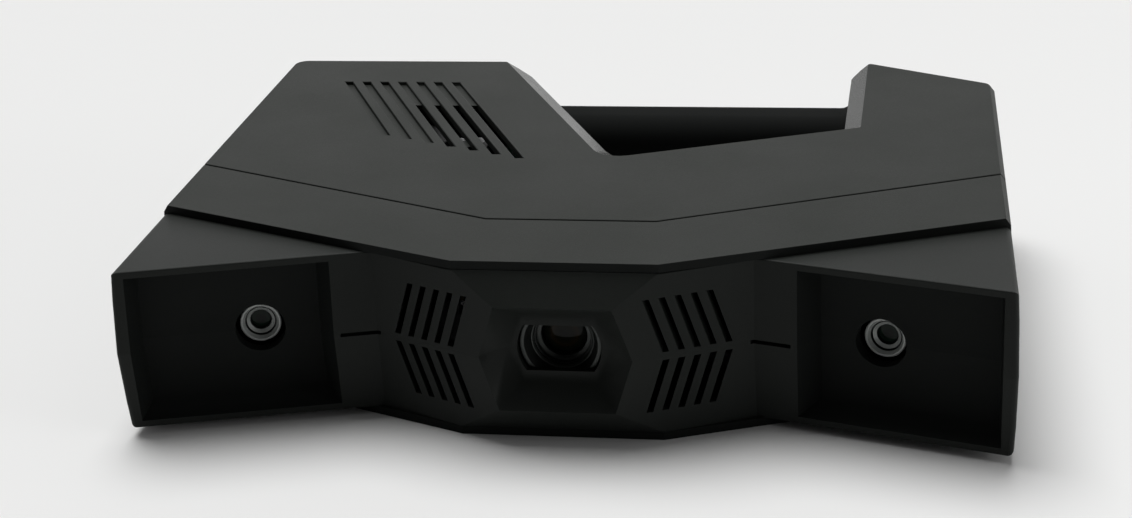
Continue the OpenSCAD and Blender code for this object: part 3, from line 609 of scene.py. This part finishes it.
glass = turned("projector_front_glass", [
    (0, 22.5), (1, 22.52), (2.2, 22.62), (3.4, 22.8), (4.6, 23.08), (5.8, 23.45), (6.8, 23.85),
    (7.7, 24.3), (8.1, 24.6), (8.1, 28.8), (0, 28.8)], 96)
settle(glass, middle, ahead)
# Painted reflection: a faint amber ring in the glass colour.
paint(glass, glass_with_painted_reflection("projector_reflection_rings", middle, 0, [
    (0, (0.004, 0.005, 0.004)), (3.0, (0.008, 0.008, 0.005)), (4.6, (0.02, 0.013, 0.006)),
    (5.6, (0.008, 0.010, 0.007)), (8.1, (0.003, 0.005, 0.004))]))
fit_in(glass, "case", "lens", "projector_glass")

light_board = cad_copy("led_board", "light_board")
soften(light_board, 0.12, 1)
paint(light_board, board_green)
paint(light_board, socket_cream, lambda p, n: p.y < SOCKET_Y)
fit_in(light_board, "case", "board", "led_board")

drawn_aluminium = finish_of("drawn_aluminium", milled, 1.0, 0.03,
                            Tone=(0.5, 0.51, 0.52, 1), Satin=0.38, Stretch=(900, 900, 70))
plain_piece("heat_sink", "finned_sink", "metal", drawn_aluminium, 0.2, 1)


# Main board. A green board on four brass standoffs, with a processor under a plain cap, a
# second chip, cream sockets for the leads and four round capacitors.
BOARD_TOP, CAN_H = -12.4, 8
CHIPS = ((-102, 118, -82, 138), (-76, 124, -64, 134))
CANS = (-123.1, 126, -116.9, 158)
BOARD_POSTS = [(-122, 94), (-54, 94), (-122, 172), (-54, 172)]


def over(point, x0, y0, x1, y1):
    return x0 - 0.1 < point.x < x1 + 0.1 and y0 - 0.1 < point.y < y1 + 0.1


def on_board(p):
    return p.z > BOARD_TOP + 0.1


can_metal = finish_of("can_metal", milled, 1.0, 0.02, Tone=(0.6, 0.6, 0.6, 1), Satin=0.3,
                      Stretch=(600, 600, 600))
can_sleeve = finish_of("can_sleeve", spark, 0.0, 0.01, Tone=(0.03, 0.034, 0.06, 1),
                       Grain=900.0, Satin=0.3)
main = cad_copy("main_board", "main_circuit")
soften(main, 0.15, 1)
paint(main, board_green)
paint(main, socket_cream, lambda p, n: on_board(p))
paint(main, chip_black, lambda p, n: on_board(p) and any(over(p, *chip) for chip in CHIPS))
paint(main, can_sleeve, lambda p, n: on_board(p) and over(p, *CANS))
paint(main, can_metal, lambda p, n: n.z > 0.9 and p.z > BOARD_TOP + CAN_H - 0.5)
fit_in(main, "case", "board", "main_board")

plain_piece("board_standoffs", "brass_standoffs", "brass", brass, 0.2, 1)
screw_set("board_screw_set", "board_screws", [(BOARD_POSTS, BOARD_TOP, -22)])
plain_piece("io_board", "socket_board", "board", board_green, 0.15, 1)


# Fan. A square black frame hangs under the lobe vents on four screws. The wheel is moulded
# in one piece, seven cambered blades and a pin on a hub, and turns in the frame's tube.
FAN_X, FAN_Y, FAN_Z, FAN_HOLE = -78, 150, 9, 25
HUB_R, BLADE_IN, BLADE_OUT, BLADES = 13.5, 13.0, 27.2, 7
CHORD, CAMBER, BLADE_THICK, BLADE_Z = 12.6, 0.81, 1.1, 8.3
BLADE_TILT = math.radians(38)
fan_black = finish_of("fan_black", spark, 0.0, 0.03, Tone=(0.014, 0.014, 0.014, 1),
                      Grain=1800.0, Satin=0.5)
plain_piece("fan_frame", "fan_housing", "black", fan_black, 0.35)

hub = turned("fan_wheel", [
    (0, 1.4), (1.5, 1.4), (1.5, 12.8), (11.9, 12.8), (11.9, 2.5), (HUB_R, 2.5), (HUB_R, 13.5),
    (13.2, 14.1), (12.6, 14.45), (12.0, 14.5), (0, 14.5)], 64)
bpy.ops.object.select_all(action="DESELECT")
bpy.ops.mesh.primitive_grid_add(x_subdivisions=8, y_subdivisions=10, size=MM)
blade = bpy.context.object
bpy.ops.object.mode_set(mode="EDIT")
bpy.ops.mesh.select_all(action="SELECT")
bpy.ops.transform.resize(value=(BLADE_OUT - BLADE_IN, CHORD, 1))
sheet = bmesh.from_edit_mesh(blade.data)
for vert in sheet.verts:
    out = vert.co.x / ((BLADE_OUT - BLADE_IN) * MM)
    along = vert.co.y / (CHORD * MM)
    vert.co.z += CAMBER * (1 - 4 * along * along) * MM
    vert.co.y *= 0.95 + 0.1 * out
    vert.co.x += (BLADE_IN + BLADE_OUT) / 2 * MM
bmesh.update_edit_mesh(blade.data)
bpy.ops.object.mode_set(mode="OBJECT")
thick = blade.modifiers.new("thick", "SOLIDIFY")
thick.thickness = BLADE_THICK * MM
thick.offset = 0
bpy.ops.object.modifier_apply(modifier=thick.name)
soften(blade, 0.3, 2, 50)
settle(blade, (0, 0, BLADE_Z * MM), (BLADE_TILT, 0, 0))
blades = [blade]
for count in range(1, BLADES):
    twin = copy_of(blade, "fan_blade_copy")
    settle(twin, (0, 0, 0), (0, 0, math.tau * count / BLADES))
    blades.append(twin)
wheel = join([hub] + blades, "fan_wheel")
settle(wheel, in_case(FAN_X, FAN_Y, FAN_Z))
paint(wheel, finish_of("wheel_black", spark, 0.0, 0.03, Tone=(0.02, 0.02, 0.021, 1),
                       Grain=1600.0, Satin=0.42))
fit_in(wheel, "fan_rotor", "dark_metal", "fan_rotor")

fan_corners = [(FAN_X + i, FAN_Y + j)
               for i in (-FAN_HOLE, FAN_HOLE) for j in (-FAN_HOLE, FAN_HOLE)]
screw_set("fan_screw_set", "fan_screws", [(fan_corners, FAN_Z, 27.25)])


# Port plate. A brushed aluminium plate held in slots of both rear shells, with a pressed
# steel data socket, a black power socket and a rocker switch that snaps into it.
JACK_X, PIN_R = -109, 1.0
CONTACT_X = (-127.0, -125.0, -123.0, -121.0)
brushed_plate = finish_of("brushed_plate", milled, 0.9, 0.04, Tone=(0.16, 0.165, 0.165, 1),
                          Satin=0.42, Stretch=(50, 900, 1300))
plain_piece("port_plate", "back_plate", "metal", brushed_plate, 0.2)
pressed_steel = finish_of("pressed_steel", milled, 1.0, 0.02, Tone=(0.55, 0.55, 0.55, 1),
                          Satin=0.28, Stretch=(200, 700, 700))
plain_piece("usb_socket", "data_socket", "steel", pressed_steel, 0.15)


def small_block(name, low, high, round_mm):
    bpy.ops.object.select_all(action="DESELECT")
    low, high = in_case(*low), in_case(*high)
    bpy.ops.mesh.primitive_cube_add(size=1, location=(low + high) / 2)
    piece = bpy.context.object
    piece.name = name
    piece.scale = high - low
    bpy.ops.object.transform_apply(location=True, rotation=True, scale=True)
    soften(piece, round_mm)
    return piece


tongue = small_block("data_tongue", (-128.2, 197, -1.0), (-119.8, 207.4, 0.8), 0.2)
edit(tongue)
leading = bmesh.from_edit_mesh(tongue.data)
for face in leading.faces:
    face.select = face.normal.y > 0.9
bmesh.update_edit_mesh(tongue.data)
bpy.ops.mesh.inset(thickness=0.25 * MM)
bpy.ops.transform.translate(value=(0, -0.15 * MM, 0))
bpy.ops.object.mode_set(mode="OBJECT")
paint(tongue, chip_black)
contacts = [small_block("contact", (x - 0.5, 199, -1.15), (x + 0.5, 206.6, -0.9), 0.06)
            for x in CONTACT_X]
strip = join(contacts, "data_contacts")
paint(strip, finish_of("contact_gold", milled, 1.0, 0.01, Tone=(0.75, 0.53, 0.2, 1),
                       Satin=0.22, Stretch=(300, 300, 300)))
fit_in(tongue, "case", "black", "usb_socket")
fit_in(strip, "case", "brass", "usb_socket")

socket = turned("power_socket", [
    (0, 192), (4.6, 192), (4.6, 208.4), (4.2, 208.8), (3.3, 208.8), (2.9, 208.4), (2.9, 196),
    (PIN_R, 196), (PIN_R, 206.9), (0.8, 207.35), (0.4, 207.5), (0, 207.5)], 56)
settle(socket, in_case(JACK_X, 0, 0), ahead)
paint(socket, chip_black)
paint(socket, can_metal, lambda p, n: math.hypot(p.x - JACK_X, p.z) < PIN_R + 0.05
      and p.y > 196.5)
fit_in(socket, "case", "black", "power_jack")

switch_black = finish_of("switch_black", spark, 0.0, 0.02, Tone=(0.017, 0.017, 0.018, 1),
                         Grain=2200.0, Satin=0.38)
plain_piece("switch_frame", "switch_housing", "black", switch_black, 0.3)


# Power rocker. A glossy black key with a dished face that tilts on two pins in the switch
# housing. A bar and a ring, moulded proud and painted white, mark on and off.
ROCKER = (-93, 207)
STORED_TILT = math.radians(-9)
FACE_SLOPE = math.atan(0.8 / 3.3)
MARK_Y, MARK_Z = 2.72 * MM, 1.75 * MM
rocker = cad_copy("power_rocker", "rocker_key")
soften(rocker, 0.22)
paint(rocker, finish_of("rocker_black", spark, 0.0, 0.01, Tone=(0.02, 0.02, 0.021, 1),
                        Grain=1400.0, Satin=0.25))
mark_white = finish_of("mark_white", spark, 0.0, 0.01, Tone=(0.7, 0.7, 0.68, 1), Grain=1800.0,
                       Satin=0.4)
ring_mark = turned("off_mark", [(0.5, -0.1), (0.72, -0.1), (0.72, 0.06), (0.5, 0.06)], 32)
settle(ring_mark, (0, MARK_Y, -MARK_Z), (math.radians(-90) + FACE_SLOPE, 0, 0))
bpy.ops.object.select_all(action="DESELECT")
bpy.ops.mesh.primitive_cube_add(size=MM)
bar_mark = bpy.context.object
bar_mark.scale = (0.22, 1.4, 0.16)
bpy.ops.object.transform_apply(location=True, rotation=True, scale=True)
soften(bar_mark, 0.04, 1)
settle(bar_mark, (0, MARK_Y, MARK_Z), (math.radians(-90) - FACE_SLOPE, 0, 0))
marks = join([ring_mark, bar_mark], "rocker_marks")
settle(marks, in_case(*ROCKER, 0), (STORED_TILT, 0, 0))
paint(marks, mark_white)
fit_in(rocker, "power_rocker", "control", "power_rocker")
fit_in(marks, "power_rocker", "control", "power_rocker")


# Leads. Round screened cables in black jackets, soldered or plugged at each end and laid
# along the bench and the shells. Each one is a fixed run inside the case.
jacket = finish_of("lead_jacket", spark, 0.0, 0.02, Tone=(0.016, 0.016, 0.017, 1),
                   Grain=1200.0, Satin=0.48)
BAR_Y = 195.75
LEADS = {
    "camera_lead_left": (1.4, [
        (*by_camera(-1, 0, 58.1), 0), (*by_camera(-1, 0, 61), 0), (-121, 90, -3), (-115, 96, -8),
        (-109, 98, -10), (-104.1, 98, -10)]),
    "camera_lead_right": (1.4, [
        (*by_camera(1, 0, 58.1), 0), (*by_camera(1, 0, 61), 0), (122, 90, -8), (112, 93, -22),
        (50, 96, -25), (-36, 98, -25), (-44, 101, -18), (-48, 104, -9.5), (-53.9, 104, -9.5)]),
    "projector_lead": (1.2, [
        (-32.1, 84.8, 8), (-35, 84.8, 8), (-37, 88, 6), (-42, 98, -2), (-49, 116, -9.5),
        (-53.9, 116, -9.5)]),
    "fan_lead": (1.0, [
        (-108.1, 128, 12), (-111, 128, 12), (-114, 125, 8), (-114, 120, 1), (-110, 117, -4),
        (-110, 117, -7.3)]),
    "button_lead": (1.0, [
        (67.9, BAR_Y + 4.1, 0), (-52, BAR_Y + 4.1, 0), (-59, BAR_Y + 6.7, 0),
        (-72, BAR_Y + 6.7, 0), (-76, BAR_Y + 3, -2), (-77, 192, -4), (-80, 180, -5),
        (-80, 173, -4), (-80, 171, -5.5), (-80, 171, -7.3)]),
    "io_lead": (1.1, [
        (-112, 188, -4.9), (-112, 188, -3), (-112, 185, -1), (-111, 178, -1), (-111, 171, -2),
        (-111, 169, -4), (-111, 169, -7.3)]),
}
for node, (radius, points) in LEADS.items():
    route = bpy.data.curves.new(node + "_cable", "CURVE")
    route.dimensions = "3D"
    route.bevel_depth = radius * MM
    route.bevel_resolution = 4
    route.use_fill_caps = True
    run = route.splines.new("NURBS")
    run.points.add(len(points) - 1)
    for knot, point in zip(run.points, points):
        knot.co = (*in_case(*point), 1)
    run.use_endpoint_u = True
    run.order_u = 3
    run.resolution_u = 8
    cable = bpy.data.objects.new(node + "_cable", route)
    bpy.context.scene.collection.objects.link(cable)
    pick(cable)
    bpy.ops.object.convert(target="MESH")
    cable = bpy.context.object
    edit(cable)
    bpy.ops.mesh.select_all(action="SELECT")
    bpy.ops.mesh.remove_doubles(threshold=WELD)
    face_out()
    paint(cable, jacket)
    fit_in(cable, "case", "lead", node)


# Handle. An aluminium bar runs through both lobes and is held by their screw bosses. A
# sleeve of soft black rubber is moulded over it between the lobes.
plain_piece("handle_core", "handle_bar", "metal", bare_aluminium, 0.3)

rubber = finish_of("grip_rubber", spark, 0.0, 0.10, 0.5, gloss=0.02,
                   Tone=(0.010, 0.0108, 0.0104, 1), Grain=1700.0, Satin=0.72)
grip = cad_copy("handle_grip", "grip_sleeve")
soften(grip, 0.5, 3, 40)
paint(grip, rubber)
fit_in(grip, "case", "grip", "handle_grip")


# Scan button. A dished round key of dark satin plastic with a flange that keeps it in the
# grip. It presses a small switch let into the bar and springs back.
BUTTON_X, BUTTON_BACK, BUTTON_FRONT = 72, 203.55, 211.2
button = turned("scan_key", [
    (0, BUTTON_BACK), (7.7, BUTTON_BACK), (7.7, BUTTON_BACK + 1.6), (6.5, BUTTON_BACK + 1.6),
    (6.5, BUTTON_FRONT - 0.7), (6.3, BUTTON_FRONT - 0.2), (5.8, BUTTON_FRONT),
    (5.4, BUTTON_FRONT - 0.1), (5.1, BUTTON_FRONT - 0.35), (3.6, BUTTON_FRONT - 0.72),
    (1.8, BUTTON_FRONT - 0.95), (0, BUTTON_FRONT - 1.02)])
settle(button, in_case(BUTTON_X, 0, 0), ahead)
paint(button, finish_of("button_satin", spark, 0.0, 0.03, Tone=(0.075, 0.078, 0.076, 1),
                        Grain=2000.0, Satin=0.4))
fit_in(button, "scan_button", "control", "scan_button")

plain_piece("scan_switch", "press_switch", "black", switch_black, 0.2)


# Front bezels. Two charcoal halves that carry the hoods, the vents and the funnel, moulded
# with a spark texture. The hoods are painted darker inside, partly a darker black of their
# own and partly painted shade for the recess.
POD_TOP = MID_Z - 3.1
TOE = math.tan(TOE_IN)
HALF_L, END_X, RIDGE = 150, 149, 2.5
APEX_X, APEX_Y, VENT_SLOPE, VENT_LEAN = 26.2, 2.6, 0.45, 0.076
VENTS, VENT_X, VENT_STEP, VENT_SLANT = 5, 57.7, 5.1, 0.31
VENT_LOW, VENT_HIGH, VENT_HALF = 1.3, 21.1, 1.2
HOOD_IN, HOOD_OUT, HOOD_TOP, HOOD_DEPTH = 79.6, 148, 27.5, 3.2
EDGE_ANGLE = math.radians(7)


def round_edges(piece, width, segments, wanted):
    edit(piece)
    bpy.ops.mesh.select_mode(type="EDGE")
    mesh = bmesh.from_edit_mesh(piece.data)
    chosen = 0
    for edge in mesh.edges:
        if len(edge.link_faces) == 2 and edge.calc_face_angle() > EDGE_ANGLE:
            a, b = (in_mm(vert.co) for vert in edge.verts)
            if wanted(a, b, [face.normal for face in edge.link_faces]):
                edge.select = True
                chosen += 1
    bmesh.update_edit_mesh(piece.data)
    if chosen:
        bpy.ops.mesh.bevel(offset=width * MM, offset_type="OFFSET", segments=segments,
                           profile=0.5, clamp_overlap=True, affect="EDGES")
    bpy.ops.object.mode_set(mode="OBJECT")


def pod_front(p):
    return TOE * (HALF_L - abs(p.x)) - RIDGE * (1 - abs(p.z) / POD_TOP)


def vent_front(p):
    return APEX_Y + VENT_SLOPE * (abs(p.x) - APEX_X) + VENT_LEAN * abs(p.z)


def on_face(p):
    return abs(p.y - min(pod_front(p), vent_front(p))) < 0.06


def in_vent(p):
    return VENT_LOW < abs(p.z) < VENT_HIGH and any(
        abs(abs(p.x) - (VENT_X - VENT_STEP * i - VENT_SLANT * abs(p.z))) < VENT_HALF
        for i in range(VENTS))


def at_rim(p):
    return abs(abs(p.z) - POD_TOP) < 0.05


def at_end(p):
    return abs(p.x) > END_X


def at_parting(a, b):
    return abs(a.z) < 0.03 and abs(b.z) < 0.03


def in_hood(p):
    return (HOOD_IN < abs(p.x) < HOOD_OUT and abs(p.z) < HOOD_TOP
            and camera_depth(p) < HOOD_DEPTH)


charcoal = finish_of("charcoal_plastic", spark, 0.0, 0.12, gloss=0.1,
                     Tone=(0.0165, 0.0188, 0.0163, 1), Grain=2600.0, Satin=0.5)
bezel_charcoal = finish_of("bezel_charcoal", spark, 0.0, 0.12, gloss=0.12,
                           Tone=(0.0145, 0.0165, 0.0148, 1), Grain=2600.0, Satin=0.5)
# Painted shade: this near-black goes in the hood recesses and on the band's front wall, where
# shade falls.
painted_shade_black = finish_of("painted_shade_black", spark, 0.0, 0.10, gloss=0.06,
                       Tone=(0.0105, 0.0118, 0.011, 1), Grain=2200.0, Satin=0.62)
for half in ("upper", "lower"):
    bezel = cad_copy("front_bezel_" + half, "bezel_" + half)
    round_edges(bezel, 2.2, 5, lambda a, b, n: at_end(a) and at_end(b)
                and (at_rim(a) and at_rim(b) or on_face(a) and on_face(b)))
    round_edges(bezel, 0.6, 3, lambda a, b, n: at_rim(a) and at_rim(b)
                and min(n[0].y, n[1].y) < -0.2)
    round_edges(bezel, 0.7, 3, lambda a, b, n: on_face(a) and on_face(b)
                and not at_parting(a, b) and not (in_vent(a) and in_vent(b))
                and min(abs(a.z), abs(b.z)) < POD_TOP - 1.8
                and min(abs(a.x), abs(b.x)) < END_X)
    round_edges(bezel, 0.3, 2, lambda a, b, n: on_face(a) and on_face(b)
                and in_vent(a) and in_vent(b))
    round_edges(bezel, 0.25, 2, lambda a, b, n: at_parting(a, b)
                and max(abs(n[0].z), abs(n[1].z)) > 0.9)
    paint(bezel, bezel_charcoal)
    # Painted shade: the faces inside each hood get the near-black, darker than the bezel's own
    # tone.
    paint(bezel, painted_shade_black, lambda p, n: in_hood(p) and p.y > pod_front(p) + 0.7)
    fit_in(bezel, "case", "bezel", "front_bezel_" + half)


# Bands. Two plain charcoal mouldings behind the bezel, clipped on the strips that the rear
# shells carry inside. Their front wall is painted black as painted shade under the cover's
# edge, and a fine seam stays open behind.
SEAM_Y, SEAM_SLOPE, SEAM_FLAT, SEAM_NEAR = 45.7, 0.4108, 30, 2


def seam_y(x):
    return SEAM_Y + SEAM_SLOPE * max(0.0, abs(x) - SEAM_FLAT)


def past_seam(a, b):
    middle = (a + b) / 2
    return middle.y - seam_y(middle.x)


def at_top(a, b):
    return abs(a.z) > MID_Z - 0.1 and abs(b.z) > MID_Z - 0.1


for half in ("upper", "lower"):
    band = cad_copy("band_" + half, "band_cover_" + half)
    round_edges(band, 0.4, 2, lambda a, b, n: at_top(a, b) and past_seam(a, b) > -SEAM_NEAR)
    round_edges(band, 1.3, 3, lambda a, b, n: at_top(a, b) and past_seam(a, b) < -SEAM_NEAR)
    paint(band, charcoal)
    # Painted shade: the forward-facing wall below the band's edge is painted near-black, though
    # it is the same charcoal plastic.
    paint(band, painted_shade_black, lambda p, n: n.y < -0.8 and past_seam(p, p) < -SEAM_NEAR)
    fit_in(band, "case", "shell", "band_" + half)


# Rear shells. Two charcoal halves with both lobes, moulded with the same spark texture and
# rounded along their outer edges. The chamfers of the finger gap are left smooth by the
# mould, and a hairline stays open where the halves meet.
GAP_X, GAP_Y, GAP_LEAN = 2.5, 104.4, 0.511
GAP_LEFT, GAP_RIGHT, GAP_FRONT, GAP_BACK = -58, 96.5, 20, 213.7
SLOTS_LEFT, SLOTS_FRONT, SLOTS_BACK, SLOTS_IN = -121, 102, 190, 12
CHAMFER_Z = MID_Z - 5.5


def in_slot(p):
    gap_edge = GAP_X - GAP_LEAN * (p.y - GAP_Y)
    return SLOTS_LEFT < p.x < gap_edge - SLOTS_IN and SLOTS_FRONT < p.y < SLOTS_BACK


def in_slots(a, b):
    return in_slot(a) and in_slot(b)


def by_gap(a, b):
    middle = (a + b) / 2
    return (GAP_LEFT < middle.x < GAP_RIGHT and past_seam(a, b) > GAP_FRONT
            and middle.y < GAP_BACK)


def under_chamfer(p):
    return abs(abs(p.z) - CHAMFER_Z) < 0.05


def on_chamfer(p, n):
    return by_gap(p, p) and abs(p.z) > CHAMFER_Z - 0.1 and 0.6 < abs(n.z) < 0.93


smooth_charcoal = finish_of("smooth_charcoal", spark, 0.0, 0.02, gloss=0.1,
                            Tone=(0.0165, 0.0188, 0.0163, 1), Grain=2600.0, Satin=0.24)
for half in ("upper", "lower"):
    shell = cad_copy("rear_shell_" + half, "cover_" + half)
    round_edges(shell, 0.35, 2, lambda a, b, n: at_top(a, b) and in_slots(a, b))
    round_edges(shell, 0.4, 2, lambda a, b, n: at_top(a, b) and not in_slots(a, b)
                and past_seam(a, b) < SEAM_NEAR)
    round_edges(shell, 0.5, 2, lambda a, b, n: by_gap(a, b) and not in_slots(a, b)
                and (at_top(a, b) or under_chamfer(a) and under_chamfer(b)))
    round_edges(shell, 0.9, 3, lambda a, b, n: at_top(a, b) and not by_gap(a, b)
                and not in_slots(a, b) and past_seam(a, b) > SEAM_NEAR)
    round_edges(shell, 0.22, 2, lambda a, b, n: at_parting(a, b)
                and max(abs(n[0].z), abs(n[1].z)) > 0.9)
    paint(shell, charcoal)
    paint(shell, smooth_charcoal, on_chamfer)
    fit_in(shell, "case", "shell", "rear_shell_" + half)


# Case screws. Steel socket-cap screws, sunk deep into the underside, draw the rear shells
# together at six bosses and the bezels at four.
BOSS_SEAT, BOSS_TIP = -8, 10
CASE_BOSSES = [(-137, 190), (-66, 197), (110, 192), (136, 110), (-137, 110), (60, 114)]
BEZEL_BOSSES = [(-142, 38), (142, 38), (-74, 30), (74, 30)]
screw_set("case_screw_set", "case_screws", [(CASE_BOSSES, BOSS_SEAT, BOSS_TIP)])
screw_set("bezel_screw_set", "bezel_screws", [(BEZEL_BOSSES, BOSS_SEAT, BOSS_TIP)])


# Studio. A pale floor before a white surround, a broad soft light from above and behind on
# the left, a weak softbox on the right, and the camera right of the middle, looking down.
def seen_rays(tree):
    path = tree.nodes.new("ShaderNodeLightPath").outputs
    return path["Is Camera Ray"], sums(
        tree, "MAXIMUM", path["Is Glossy Ray"], path["Is Transmission Ray"])


bpy.ops.object.select_all(action="DESELECT")
bpy.ops.mesh.primitive_plane_add(size=8, location=(0, 0, 0))
floor = bpy.context.object
floor.name = "floor"
paper, tree, shader = new_material("floor_paper")
shader["Roughness"].default_value = 0.85
shader["Specular IOR Level"].default_value = 0.1
looked_at, mirrored = seen_rays(tree)
feed(tree, shader["Base Color"], mixed(
    tree, sums(tree, "MAXIMUM", looked_at, mirrored),
    (0.7, 0.7, 0.7, 1), (0.88, 0.88, 0.875, 1)))
floor.data.materials.append(paper)

world = bpy.data.worlds.new("studio")
bpy.context.scene.world = world
world.use_nodes = True
air = world.node_tree
sky = air.nodes["Background"].inputs
sky["Color"].default_value = (1, 1, 1, 1)
towards = air.nodes.new("ShaderNodeSeparateXYZ")
feed(air, towards.inputs["Vector"], air.nodes.new("ShaderNodeTexCoord").outputs["Generated"])
looked_at, mirrored = seen_rays(air)
shaded = span(air, towards.outputs["Y"], 0.03, 0.34, -0.6, 0.5)
backdrop = sums(air, "MULTIPLY", mirrored,
                span(air, towards.outputs["Y"], 0.06, 0.9, -0.5, 0.2))
feed(air, sky["Strength"], sums(
    air, "MAXIMUM", sums(air, "MULTIPLY", looked_at, 0.9),
    sums(air, "MAXIMUM", shaded, backdrop)))

bpy.ops.object.light_add(type="SUN", rotation=(math.radians(-18), math.radians(-10), 0))
above = bpy.context.object
above.name = "light_above"
above.data.energy = 2.5
above.data.angle = math.radians(40)

bpy.ops.object.light_add(type="AREA", location=(1.2, -0.35, 0.3),
                         rotation=(math.radians(78), 0, math.radians(78)))
softbox = bpy.context.object
softbox.name = "light_right"
softbox.data.size = 0.6
softbox.data.energy = 2.5

bpy.ops.object.camera_add(location=(0.1286, -0.7759, 0.3678),
                          rotation=(math.radians(66.39), math.radians(2.83), math.radians(9.14)))
camera = bpy.context.object
camera.data.sensor_width = 36
camera.data.lens = 72.16
bpy.context.scene.camera = camera
bpy.context.scene.view_settings.view_transform = "Standard"
